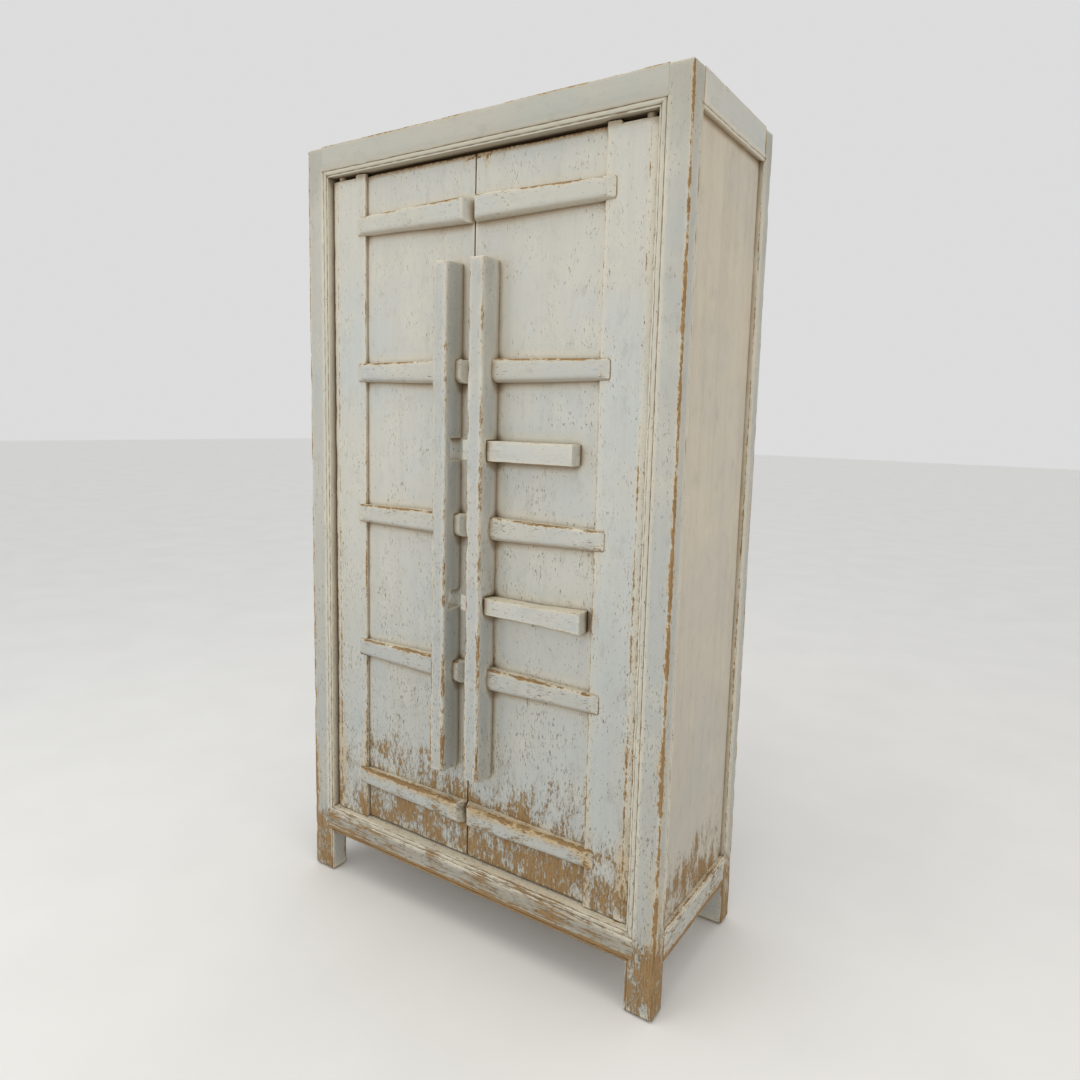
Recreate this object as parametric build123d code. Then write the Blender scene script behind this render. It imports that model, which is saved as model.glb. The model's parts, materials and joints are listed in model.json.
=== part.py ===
"""A tall two-door cupboard in the northern Chinese manner, framed, panelled and painted.

The model stands on its feet with +Z up and the doors towards -Y.  Pieces are laid out from the
front face of the frame (y = 0, going back into the cupboard) and moved to the shared origin,
the middle of the footprint, as they are written out.
"""
from build123d import *
import os

# ------------------------------------------------------------------ driving dimensions, mm
# carcase
WIDTH = 1034.0             # over the posts
DEPTH = 444.0              # over the posts
HEIGHT = 1900.0            # floor to the top of the posts
POST_WIDTH = 68.5          # post, seen from the front
POST_DEPTH = 48.0          # post, seen from the side
POST_TOP_ROUND = 6.0       # worn corners of the posts' tops
POST_FOOT_ROUND = 11.0     # and of their feet
POST_ARRIS_ROUND = 3.0     # outer corner of the posts
FOOT_HEIGHT = 115.0        # floor to the underside of the bottom rails
BOTTOM_RAIL_HEIGHT = 71.0
TOP_RAIL_HEIGHT = 73.0
SIDE_RAIL_THICKNESS = 34.0
BACK_RAIL_THICKNESS = 36.0
BACK_MIDDLE_HEIGHT = 60.0

# stuck mouldings: a lip at the opening, a bead and a quirk before the flat
LIP_WIDTH = 4.0
LIP_DEPTH = 3.0
BEAD_WIDTH = 10.5
QUIRK_WIDTH = 2.5
QUIRK_DEPTH = 2.6
BEAD_CREST = 0.3           # bead crest below the flat
SMALL_BEAD_WIDTH = 6.5     # bead along the foot opening
SIDE_BEAD_WIDTH = 7.5      # bead round the side panels
SHOULDER_DEPTH = 13.0      # mitred shoulder of the front rails, from the face

CUT_OVERRUN = 1.0          # cuts run this far past an open face

# joints between fixed pieces
FRONT_TENON_LENGTH = 38.0
FRONT_TENON_THICKNESS = 16.0
SIDE_TENON_LENGTH = 26.0
SIDE_TENON_THICKNESS = 15.0
TENON_SHOULDER = 12.0      # above and below each tenon
TENON_CHEEK = 3.0          # wood in front of a front or back rail's tenon
SIDE_TENON_CHEEK = 9.0     # wood behind a side rail's tenon
JOINT_PLAY = 0.2           # round every tenon, tongue and housing
GROOVE_DEPTH = 8.0         # grooves that hold panels and boards

# panels and boards
SIDE_PANEL_SINK = 12.0     # side panel below the face of its frame
SIDE_PANEL_THICKNESS = 12.0
BACK_BOARD_COUNT = 4
BACK_BOARD_THICKNESS = 12.0
BACK_BOARD_SINK = 14.0     # back boards in from the back of the posts
BOARD_THICKNESS = 18.0     # top, floor and shelves
BOARD_GAP = 0.6            # between neighbouring boards
TOP_BOARD_SINK = 8.0       # top boards below the rim
SHELF_COUNT = 3
SHELF_SETBACK = 68.0       # front edge of the shelves behind the face of the frame
BEARER_HEIGHT = 30.0
BEARER_THICKNESS = 25.0
BEARER_TENON_LENGTH = 12.0
BEARER_SHOULDER = 5.0
CROSS_BATTEN_WIDTH = 40.0
CROSS_BATTEN_HEIGHT = 28.0
STOP_THICKNESS = 12.0      # strips that the doors close against
STOP_REACH = 22.0
STOP_ROOM = 2.0            # between the upper strip and the batten above it
STOP_SIDE_GAP = 7.0

# doors
DOOR_SIDE_GAP = 3.5        # stile to post
DOOR_CLOSING_GAP = 3.0     # between the two doors
STILE_WIDTH = 113.0
STILE_THICKNESS = 34.0
STILE_SINK = 16.0          # stile below the face of the frame
STILE_BEVEL_WIDTH = 18.0   # shallow bevel along the outer edge
STILE_BEVEL_DEPTH = 3.0
STILE_ROUND = 4.0          # and the rounding beyond it, so that the edge turns past the post
STILE_BOTTOM_GAP = 1.5
STILE_TOP_GAP = 10.0
STILE_TAB_WIDTH = 32.0     # raised inner part of the stile's top
STILE_TAB_GAP = 2.0
STILE_TAB_ROUND = 6.0
PANEL_THICKNESS = 22.5
PANEL_SINK = 25.0          # panel below the face of the frame
PANEL_TOP_GAP = 7.0
PANEL_BOTTOM_GAP = 4.0
PANEL_TONGUE = 10.0        # panel into the stile
PIN_RADIUS = 10.0
PIN_INSET = 24.0           # pivot axis from the stile's outer edge
PIN_BEHIND_FACE = 14.0     # pivot axis behind the stile's face
PIN_TOP_HOLD = 24.0        # top pin inside its socket
PIN_PLAY = 0.5             # round the pins
PIN_SEAT_GAP = 0.3         # under the bottom pin
LIFT_MARGIN = 2.0          # lift left over once an opened door is off its bottom pin

# battens across the doors
BATTEN_COUNT = 5
BATTEN_TOP_INSET = 119.0   # top batten's middle from the panel's top
BATTEN_BOTTOM_INSET = 113.0
BATTEN_LAP = 25.0          # over the stile
BATTEN_INNER_HEIGHT = 54.0
BATTEN_OUTER_HEIGHT = 44.0
BATTEN_INNER_PROUD = 26.0  # in front of the panel
BATTEN_OUTER_PROUD = 18.0
BATTEN_EASE = 42.0         # length over which the outer end eases down on to the stile
BATTEN_EASE_LEAD = 2.0     # that slope's curve starts this far in front of the batten
BATTEN_EASE_BULGE = 1.5    # and rises this far above its chord
BATTEN_TIP_PROUD = 3.0     # the tip in front of the stile
BATTEN_TIP_ROUND = 8.0     # corners of the tip, seen from the front
BATTEN_ARRIS = 5.0         # rounding of the upper front edge
BATTEN_BELLY = 15.0        # rounding of the lower front edge
BATTEN_SPLAY = 15.0        # slope of the end beside the closing line
BATTEN_END_GAP = 1.0       # batten's end from the door's closing edge

# handle posts and sliding bolts
HANDLE_WIDTH = 40.0
HANDLE_DEPTH = 59.0        # in front of the panel
HANDLE_SETBACK = 29.5      # from the door's closing edge
HANDLE_END_GAP = 111.0     # from the middle of the end battens
HANDLE_ROUND = 5.0
BOLT_DEPTH = 37.0
BOLT_PLAY = 1.0            # round the bolts in the right-hand post that carries them
BOLT_SEAT_GAP = 0.3        # under them
BOLT_ENTRY_PLAY = 2.5      # round them in the left-hand post, cut looser so that they enter
BOLT_ROUND = 2.0
BOLT_REST_GAP = 0.5        # withdrawn tip past the door's closing edge
UPPER_BOLT_STILE_GAP = 42.0    # withdrawn upper bolt to the stile
LOWER_BOLT_STILE_GAP = 13.0
UPPER_BOLT_HEIGHT = 45.0
LOWER_BOLT_HEIGHT = 38.0
LOWER_BOLT_GRIP_LENGTH = 110.0
LOWER_BOLT_GRIP_HEIGHT = 47.0

# ------------------------------------------------------------------ dependent places
HALF = WIDTH / 2
OPENING = HALF - POST_WIDTH                       # half the door opening
SILL_TOP = FOOT_HEIGHT + BOTTOM_RAIL_HEIGHT
SOFFIT = HEIGHT - TOP_RAIL_HEIGHT
BACK_POST_FACE = DEPTH - POST_DEPTH               # front face of the back posts
BACK_RAIL_FACE = DEPTH - BACK_RAIL_THICKNESS
FRONT_MOULDING = LIP_WIDTH + BEAD_WIDTH + QUIRK_WIDTH
FOOT_MOULDING = SMALL_BEAD_WIDTH + QUIRK_WIDTH
SIDE_MOULDING = SIDE_BEAD_WIDTH + QUIRK_WIDTH
SIDE_PANEL_FACE = HALF - SIDE_PANEL_SINK
SIDE_PANEL_BACK = SIDE_PANEL_FACE - SIDE_PANEL_THICKNESS
SIDE_RAIL_BACK = HALF - SIDE_RAIL_THICKNESS
BACK_BOARD_BACK = DEPTH - BACK_BOARD_SINK
BACK_BOARD_FACE = BACK_BOARD_BACK - BACK_BOARD_THICKNESS
TOP_BOARD_TOP = HEIGHT - TOP_BOARD_SINK
TOP_BOARD_BOTTOM = TOP_BOARD_TOP - BOARD_THICKNESS
FLOOR_BOTTOM = SILL_TOP - BOARD_THICKNESS
STOP_TOP = TOP_BOARD_BOTTOM - CROSS_BATTEN_HEIGHT - STOP_ROOM
STILE_OUTER = OPENING - DOOR_SIDE_GAP
STILE_INNER = STILE_OUTER - STILE_WIDTH
STILE_BACK = STILE_SINK + STILE_THICKNESS
STILE_BOTTOM = SILL_TOP + STILE_BOTTOM_GAP
STILE_TOP = SOFFIT - STILE_TOP_GAP
DOOR_EDGE = DOOR_CLOSING_GAP / 2                  # closing edge of the right-hand door
PANEL_BACK = PANEL_SINK + PANEL_THICKNESS
PANEL_TOP = SOFFIT - PANEL_TOP_GAP
PANEL_BOTTOM = SILL_TOP + PANEL_BOTTOM_GAP
PIN_X = STILE_OUTER - PIN_INSET
PIN_Y = STILE_SINK + PIN_BEHIND_FACE
PIN_BOTTOM_HOLD = STILE_TOP_GAP - LIFT_MARGIN     # an opened door lifts by the gap over its stile
PIN_TOP_ROOM = STILE_TOP_GAP + LIFT_MARGIN
HANDLE_LEFT = DOOR_EDGE + HANDLE_SETBACK
HANDLE_RIGHT = HANDLE_LEFT + HANDLE_WIDTH
HANDLE_FRONT = PANEL_SINK - HANDLE_DEPTH          # negative: proud of the frame
BOLT_BACK = PANEL_SINK - BOLT_PLAY
BOLT_FRONT = BOLT_BACK - BOLT_DEPTH
BOLT_TIP = DOOR_EDGE + BOLT_REST_GAP
UPPER_BOLT_END = STILE_INNER - UPPER_BOLT_STILE_GAP
LOWER_BOLT_END = STILE_INNER - LOWER_BOLT_STILE_GAP
BEARER_OUTER = SIDE_PANEL_BACK - JOINT_PLAY
BEARER_INNER = BEARER_OUTER - BEARER_THICKNESS
FOOTPRINT_MIDDLE = (DEPTH + HANDLE_FRONT) / 2

BATTEN_TOP_Z = PANEL_TOP - BATTEN_TOP_INSET
BATTEN_BOTTOM_Z = PANEL_BOTTOM + BATTEN_BOTTOM_INSET
BATTEN_PITCH = (BATTEN_TOP_Z - BATTEN_BOTTOM_Z) / (BATTEN_COUNT - 1)
BATTEN_LEVELS = [BATTEN_BOTTOM_Z + step * BATTEN_PITCH for step in range(BATTEN_COUNT)]
MIDDLE = BATTEN_COUNT // 2
LOWER_BOLT_Z = (BATTEN_LEVELS[MIDDLE - 1] + BATTEN_LEVELS[MIDDLE]) / 2
UPPER_BOLT_Z = (BATTEN_LEVELS[MIDDLE] + BATTEN_LEVELS[MIDDLE + 1]) / 2
HANDLE_BOTTOM = BATTEN_BOTTOM_Z + HANDLE_END_GAP
HANDLE_TOP = BATTEN_TOP_Z - HANDLE_END_GAP
SHELF_PITCH = (SOFFIT - SILL_TOP) / (SHELF_COUNT + 1)
SHELF_TOPS = [SILL_TOP + (step + 1) * SHELF_PITCH for step in range(SHELF_COUNT)]


# ------------------------------------------------------------------ small helpers
def block(x, y, z, play=0.0):
    """A box between three pairs of limits, grown on every side by a play."""
    spans = [(min(pair) - play, max(pair) + play) for pair in (x, y, z)]
    sizes = [high - low for low, high in spans]
    middle = [(low + high) / 2 for low, high in spans]
    return Pos(*middle) * Box(*sizes)


def mirrored(solid):
    """The same piece for the other side of the cupboard."""
    return mirror(solid, about=Plane.YZ)


def both(solid):
    """A detail and its mirror image, as one cutter or one pair of tenons."""
    return solid + mirrored(solid)


def moulding_run(length, lip_width, bead_width):
    """The waste cut away by one stuck moulding above an opening, mitred at both ends.

    The run lies along X over an opening whose upper edge is z = 0, on a face at y = 0.
    """
    width = lip_width + bead_width + QUIRK_WIDTH
    bead_start = LIP_DEPTH if lip_width else QUIRK_DEPTH
    air = -CUT_OVERRUN
    corner = (air, 0.0)
    first = (bead_start, 0.0)
    outline = [Line(corner, first)]
    if lip_width:
        outline.append(Line(first, (bead_start, lip_width)))
    crest = (BEAD_CREST, lip_width + bead_width / 2)
    quirk = (QUIRK_DEPTH, lip_width + bead_width)
    outline.append(ThreePointArc((bead_start, lip_width), crest, quirk))
    outline.append(Polyline(quirk, (0.0, width), (air, width), corner))
    section = Plane(origin=(-length / 2 - width, 0, 0), x_dir=(0, 1, 0), z_dir=(1, 0, 0))
    waste = extrude(section * make_face(outline), amount=length + 2 * width, dir=(1, 0, 0))
    half = length / 2
    mitre = Polygon((-half, 0), (half, 0), (half + width, width), (-half - width, width), align=None)
    reach = bead_start - air
    prism = extrude(Plane.XZ.offset(-bead_start) * mitre, amount=reach, dir=(0, -1, 0))
    return waste & prism


def front_run(length, turn, x, z, lip_width=0.0, bead_width=SMALL_BEAD_WIDTH):
    """A moulding on the front face; turn 0 is above an opening, 90 to its right, 180 below."""
    return Pos(x, 0, z) * Rot(0, turn, 0) * moulding_run(length, lip_width, bead_width)


def side_run(length, turn, y, z):
    """A moulding on the right-hand side face; turn 0 is above the panel, 90 behind it."""
    run = Rot(0, turn, 0) * moulding_run(length, 0.0, SIDE_BEAD_WIDTH)
    return Pos(HALF, y, z) * Rot(0, 0, 90) * run


# ------------------------------------------------------------------ joints of the frame
TOP_TENON = (SOFFIT + TENON_SHOULDER, HEIGHT - TENON_SHOULDER)
BOTTOM_TENON = (FOOT_HEIGHT + TENON_SHOULDER, SILL_TOP - TENON_SHOULDER)
FRONT_TENON_Y = (SHOULDER_DEPTH + TENON_CHEEK, SHOULDER_DEPTH + TENON_CHEEK + FRONT_TENON_THICKNESS)
BACK_TENON_Y = (BACK_RAIL_FACE + TENON_CHEEK, BACK_RAIL_FACE + TENON_CHEEK + FRONT_TENON_THICKNESS)
CROSS_TENON_X = (OPENING, OPENING + FRONT_TENON_LENGTH)
SIDE_TENON_BACK = SIDE_RAIL_BACK + SIDE_TENON_CHEEK
SIDE_TENON_X = (SIDE_TENON_BACK, SIDE_TENON_BACK + SIDE_TENON_THICKNESS)
SIDE_OPENING_Y = (POST_DEPTH, BACK_POST_FACE)
SIDE_OPENING_MIDDLE = sum(SIDE_OPENING_Y) / 2
SIDE_OPENING_WIDTH = BACK_POST_FACE - POST_DEPTH
OPENING_HEIGHT = SOFFIT - SILL_TOP
OPENING_MIDDLE = (SOFFIT + SILL_TOP) / 2
SIDE_PANEL_Y = (POST_DEPTH - GROOVE_DEPTH, BACK_POST_FACE + GROOVE_DEPTH)
PANEL_Z = (SILL_TOP - GROOVE_DEPTH, SOFFIT + GROOVE_DEPTH)
MIDDLE_RAIL_Z = (OPENING_MIDDLE - BACK_MIDDLE_HEIGHT / 2, OPENING_MIDDLE + BACK_MIDDLE_HEIGHT / 2)
MIDDLE_TENON_Z = (MIDDLE_RAIL_Z[0] + TENON_SHOULDER, MIDDLE_RAIL_Z[1] - TENON_SHOULDER)
MIDDLE_RAIL_Y = (BACK_BOARD_BACK + JOINT_PLAY, DEPTH)
MIDDLE_TENON_Y = (MIDDLE_RAIL_Y[0] + TENON_CHEEK, DEPTH - TENON_CHEEK)


def front_tenon(z, play=0.0):
    """Tenon of a front rail in the right-hand post."""
    return block(CROSS_TENON_X, FRONT_TENON_Y, z, play)


def back_tenon(z, play=0.0):
    """Tenon of a back rail in the right-hand post."""
    return block(CROSS_TENON_X, BACK_TENON_Y, z, play)


def middle_tenon(play=0.0):
    """Tenon of the back's middle rail in the right-hand post."""
    return block(CROSS_TENON_X, MIDDLE_TENON_Y, MIDDLE_TENON_Z, play)


def side_tenons(z, play=0.0):
    """Both tenons of a right-hand side rail."""
    front = block(SIDE_TENON_X, (POST_DEPTH - SIDE_TENON_LENGTH, POST_DEPTH), z, play)
    back = block(SIDE_TENON_X, (BACK_POST_FACE, BACK_POST_FACE + SIDE_TENON_LENGTH), z, play)
    return front + back


def bearer_tenons(top, play=0.0):
    """Both tenons of a right-hand shelf bearer."""
    x = (BEARER_INNER + BEARER_SHOULDER, BEARER_OUTER - BEARER_SHOULDER)
    z = (top - BEARER_HEIGHT + BEARER_SHOULDER, top - BEARER_SHOULDER)
    front = block(x, (POST_DEPTH - BEARER_TENON_LENGTH, POST_DEPTH), z, play)
    back = block(x, (BACK_POST_FACE, BACK_POST_FACE + BEARER_TENON_LENGTH), z, play)
    return front + back


def upper_shoulder(play=0.0):
    """The head rail's mitred shoulder, which laps the face of the right-hand post."""
    edge = OPENING + FRONT_MOULDING
    outline = Polygon((OPENING, SOFFIT), (edge + play, SOFFIT + FRONT_MOULDING - play),
                      (edge + play, HEIGHT), (OPENING, HEIGHT), align=None)
    return extrude(Plane.XZ * outline, amount=SHOULDER_DEPTH + play, dir=(0, 1, 0))


def lower_shoulder(play=0.0):
    """The sill's shoulder, mitred above for the door moulding and below for the foot bead."""
    edge = OPENING + FRONT_MOULDING + play
    foot = OPENING + FOOT_MOULDING
    outline = Polygon((OPENING, SILL_TOP), (edge, SILL_TOP - FRONT_MOULDING + play),
                      (edge, FOOT_HEIGHT + FOOT_MOULDING - play),
                      (foot, FOOT_HEIGHT + FOOT_MOULDING - play),
                      (OPENING, FOOT_HEIGHT), align=None)
    return extrude(Plane.XZ * outline, amount=SHOULDER_DEPTH + play, dir=(0, 1, 0))


# ------------------------------------------------------------------ posts
def rounded_view(plane, near, far, reach):
    """A post's outline in one view, rounded at the foot and the outer top corner, as a slab."""
    outline = Pos(min(near, far), 0) * Rectangle(abs(far - near), HEIGHT, align=(Align.MIN, Align.MIN))
    foot = outline.vertices().group_by(Axis.Y)[0]
    outline = fillet(foot, POST_FOOT_ROUND)
    top = outline.vertices().group_by(Axis.Y)[-1].sort_by(lambda corner: abs(corner.X - far))[0]
    outline = fillet(top, POST_TOP_ROUND)
    return extrude(plane * outline, amount=reach, both=True)


def post_blank(inside, outside):
    """A right-hand post with worn ends, before the joints are cut."""
    blank = block((OPENING, HALF), (inside, outside), (0, HEIGHT))
    corner = blank.edges().filter_by(Axis.Z).group_by(Axis.X)[-1]
    blank = fillet(corner, POST_ARRIS_ROUND)
    front_view = rounded_view(Plane.XZ, OPENING, HALF, 2 * DEPTH)
    side_view = rounded_view(Plane.YZ, inside, outside, WIDTH)
    return blank & front_view & side_view


def side_joints(play=JOINT_PLAY):
    """What the side rails, panel, bearers and mouldings take out of the right-hand posts."""
    waste = side_tenons(TOP_TENON, play) + side_tenons(BOTTOM_TENON, play)
    waste += side_panel_blank(play)
    for top in SHELF_TOPS:
        waste += bearer_tenons(top - BOARD_THICKNESS, play)
    return waste


def side_mouldings():
    """The bead round the right-hand side panel."""
    runs = side_run(SIDE_OPENING_WIDTH, 0, SIDE_OPENING_MIDDLE, SOFFIT)
    runs += side_run(SIDE_OPENING_WIDTH, 180, SIDE_OPENING_MIDDLE, SILL_TOP)
    runs += side_run(OPENING_HEIGHT, 90, BACK_POST_FACE, OPENING_MIDDLE)
    runs += side_run(OPENING_HEIGHT, -90, POST_DEPTH, OPENING_MIDDLE)
    return runs


def front_post():
    """Right-hand front post."""
    post = post_blank(POST_DEPTH, 0)
    post -= upper_shoulder(JOINT_PLAY)
    post -= lower_shoulder(JOINT_PLAY)
    post -= front_tenon(TOP_TENON, JOINT_PLAY)
    post -= front_tenon(BOTTOM_TENON, JOINT_PLAY)
    post -= side_joints()
    post -= front_run(OPENING_HEIGHT, 90, OPENING, OPENING_MIDDLE, LIP_WIDTH, BEAD_WIDTH)
    post -= front_run(2 * FOOT_HEIGHT, 90, OPENING, 0)
    return post - side_mouldings()


def back_post():
    """Right-hand back post."""
    post = post_blank(BACK_POST_FACE, DEPTH)
    post -= back_tenon(TOP_TENON, JOINT_PLAY)
    post -= back_tenon(BOTTOM_TENON, JOINT_PLAY)
    post -= middle_tenon(JOINT_PLAY)
    post -= side_joints()
    post -= back_boards_blank(JOINT_PLAY)
    return post - side_mouldings()


# ------------------------------------------------------------------ rails
def board_groove(y, z):
    """A groove along the inner face of a front or back rail."""
    return block((-OPENING - CUT_OVERRUN, OPENING + CUT_OVERRUN), y, z, JOINT_PLAY)


def head_rail():
    """Front rail above the doors, with the sockets for the upper pivot pins."""
    rail = block((-OPENING, OPENING), (0, POST_DEPTH), (SOFFIT, HEIGHT))
    rail += both(upper_shoulder())
    rail += both(front_tenon(TOP_TENON))
    rail -= front_run(2 * OPENING, 0, 0, SOFFIT, LIP_WIDTH, BEAD_WIDTH)
    rail -= both(pivot_socket(SOFFIT, PIN_TOP_HOLD + PIN_TOP_ROOM))
    rail -= board_groove((POST_DEPTH - GROOVE_DEPTH, POST_DEPTH), (TOP_BOARD_BOTTOM, TOP_BOARD_TOP))
    return rail - top_batten(JOINT_PLAY)


def sill_rail():
    """Front rail under the doors, with the sockets for the lower pivot pins."""
    rail = block((-OPENING, OPENING), (0, POST_DEPTH), (FOOT_HEIGHT, SILL_TOP))
    rail += both(lower_shoulder())
    rail += both(front_tenon(BOTTOM_TENON))
    rail -= front_run(2 * OPENING, 180, 0, SILL_TOP, LIP_WIDTH, BEAD_WIDTH)
    rail -= front_run(2 * OPENING, 0, 0, FOOT_HEIGHT)
    depth = PIN_BOTTOM_HOLD + PIN_SEAT_GAP
    rail -= both(pivot_socket(SILL_TOP - depth, depth))
    rail -= board_groove((POST_DEPTH - GROOVE_DEPTH, POST_DEPTH), (FLOOR_BOTTOM, SILL_TOP))
    return rail - floor_batten(JOINT_PLAY)


def pivot_socket(bottom, depth):
    """Bored hole for a right-hand pivot pin, open where it leaves the rail."""
    hole = Cylinder(PIN_RADIUS + PIN_PLAY, depth, align=(Align.CENTER, Align.CENTER, Align.MIN))
    return Pos(PIN_X, PIN_Y, bottom) * hole


def back_rail(z, tenon_z, board_z, batten):
    """Back rail, grooved for the back boards and for the top or floor boards."""
    rail = block((-OPENING, OPENING), (BACK_RAIL_FACE, DEPTH), z)
    rail += both(back_tenon(tenon_z))
    rail -= back_boards_blank(JOINT_PLAY)
    rail -= board_groove((BACK_RAIL_FACE, BACK_RAIL_FACE + GROOVE_DEPTH), board_z)
    return rail - batten


def back_rail_middle():
    """Rail across the outside of the back boards."""
    rail = block((-OPENING, OPENING), MIDDLE_RAIL_Y, MIDDLE_RAIL_Z)
    return rail + both(middle_tenon())


def side_rail(z, tenon_z, board_z):
    """Right-hand side rail, grooved for the side panel and for the top or floor boards."""
    rail = block((SIDE_RAIL_BACK, HALF), SIDE_OPENING_Y, z)
    rail += side_tenons(tenon_z)
    rail -= side_panel_blank(JOINT_PLAY)
    groove_x = (SIDE_RAIL_BACK, SIDE_RAIL_BACK + GROOVE_DEPTH)
    rail -= block(groove_x, SIDE_OPENING_Y, board_z, JOINT_PLAY)
    return rail - side_mouldings()


# ------------------------------------------------------------------ panels, boards and shelves
def side_panel_blank(play=0.0):
    """Right-hand side panel, or the groove for it."""
    return block((SIDE_PANEL_BACK, SIDE_PANEL_FACE), SIDE_PANEL_Y, PANEL_Z, play)


def back_boards_blank(play=0.0):
    """All the back boards together, or the groove for them."""
    edge = OPENING + GROOVE_DEPTH
    return block((-edge, edge), (BACK_BOARD_FACE, BACK_BOARD_BACK), PANEL_Z, play)


def back_board(index):
    """One of the upright back boards, counted from the left."""
    edge = OPENING + GROOVE_DEPTH
    pitch = 2 * edge / BACK_BOARD_COUNT
    left = -edge + index * pitch
    x = (left + BOARD_GAP / 2, left + pitch - BOARD_GAP / 2)
    return block(x, (BACK_BOARD_FACE, BACK_BOARD_BACK), PANEL_Z)


def posts_clearance():
    """The posts' own space, taken out of boards that fit between them."""
    front = block((OPENING, HALF), (0, POST_DEPTH), (0, HEIGHT), JOINT_PLAY)
    back = block((OPENING, HALF), (BACK_POST_FACE, DEPTH), (0, HEIGHT), JOINT_PLAY)
    return both(front + back)


def flat_board(y, z):
    """A top or floor board, held in the grooves of the rails round it."""
    edge = SIDE_RAIL_BACK + GROOVE_DEPTH
    return block((-edge, edge), y, z) - posts_clearance()


def flat_board_pair(z):
    """Front and back boards of the top or the floor."""
    front = POST_DEPTH - GROOVE_DEPTH
    back = BACK_RAIL_FACE + GROOVE_DEPTH
    seam = (front + back) / 2
    return (flat_board((front, seam - BOARD_GAP / 2), z),
            flat_board((seam + BOARD_GAP / 2, back), z))


def cross_batten(top, play=0.0):
    """Batten under the top or floor boards, tenoned into the front and back rails."""
    x = (-CROSS_BATTEN_WIDTH / 2, CROSS_BATTEN_WIDTH / 2)
    y = (POST_DEPTH, BACK_RAIL_FACE)
    batten = block(x, y, (top - CROSS_BATTEN_HEIGHT, top))
    tongue_x = (x[0] + BEARER_SHOULDER, x[1] - BEARER_SHOULDER)
    tongue_z = (top - CROSS_BATTEN_HEIGHT + BEARER_SHOULDER, top - BEARER_SHOULDER)
    tongue_y = (y[0] - GROOVE_DEPTH, y[1] + GROOVE_DEPTH)
    return batten + block(tongue_x, tongue_y, tongue_z, play)


def top_batten(play=0.0):
    """Batten that carries the top boards."""
    return cross_batten(TOP_BOARD_BOTTOM, play)


def floor_batten(play=0.0):
    """Batten that carries the floor boards."""
    return cross_batten(FLOOR_BOTTOM, play)


def shelf_bearer(top):
    """Right-hand bearer of one shelf."""
    x = (BEARER_INNER, BEARER_OUTER)
    body = block(x, SIDE_OPENING_Y, (top - BEARER_HEIGHT, top))
    return body + bearer_tenons(top)


def shelf(top):
    """A shelf that lies on its two bearers and fits round the back posts."""
    edge = SIDE_PANEL_BACK - BOARD_GAP
    y = (SHELF_SETBACK, BACK_BOARD_FACE - BOARD_GAP)
    return block((-edge, edge), y, (top - BOARD_THICKNESS, top)) - posts_clearance()


def stop_strip(z):
    """Strip behind the doors that they close against."""
    reach = STILE_INNER - STOP_SIDE_GAP
    return block((-reach, reach), (POST_DEPTH, POST_DEPTH + STOP_THICKNESS), z)


# ------------------------------------------------------------------ doors, built right-handed
def eased_end(outer, front, play):
    """Plan of what is left of a batten after its outer end is eased down on to the stile."""
    start = (outer - BATTEN_EASE, front)
    tip = (outer, STILE_SINK - BATTEN_TIP_PROUD - play)
    middle = ((start[0] + tip[0]) / 2, (start[1] + tip[1]) / 2 - BATTEN_EASE_BULGE)
    back = PANEL_SINK + play
    clear = PANEL_SINK - HANDLE_DEPTH
    sides = Polyline(tip, (outer, back), (0, back), (0, clear), (start[0], clear), start)
    return make_face([sides, ThreePointArc(start, middle, tip)])


def door_batten(level, play=0.0):
    """A batten that tapers from the closing edge and eases down on to the stile it laps."""
    inner = DOOR_EDGE + BATTEN_END_GAP - play
    outer = STILE_INNER + BATTEN_LAP + play
    inner_rise = BATTEN_INNER_HEIGHT / 2 + play
    outer_rise = BATTEN_OUTER_HEIGHT / 2 + play
    back = PANEL_SINK + play
    inner_front = PANEL_SINK - BATTEN_INNER_PROUD - play
    outer_front = PANEL_SINK - BATTEN_OUTER_PROUD - play
    front_view = Polygon((inner, -inner_rise), (outer, -outer_rise), (outer, outer_rise),
                         (inner, inner_rise), align=None)
    plan = Polygon((inner, back), (inner + BATTEN_SPLAY, inner_front), (outer, outer_front),
                   (outer, back), align=None)
    batten = extrude(Plane.XZ * front_view, amount=DEPTH, both=True)
    batten &= extrude(plan, amount=BATTEN_INNER_HEIGHT, both=True)
    front_edges = batten.faces().sort_by(Axis.Y)[0].edges().sort_by(Axis.Z)
    batten = fillet(front_edges[0], BATTEN_BELLY)
    front_edges = batten.faces().sort_by(Axis.Y)[0].edges().sort_by(Axis.Z)
    batten = fillet(front_edges[-1], BATTEN_ARRIS)
    lap = eased_end(outer, outer_front - BATTEN_EASE_LEAD, play)
    batten &= extrude(lap, amount=BATTEN_INNER_HEIGHT, both=True)
    tip_corners = front_view.vertices().group_by(Axis.X)[-1]
    batten &= extrude(Plane.XZ * fillet(tip_corners, BATTEN_TIP_ROUND), amount=DEPTH, both=True)
    return Pos(0, 0, level) * batten


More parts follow.
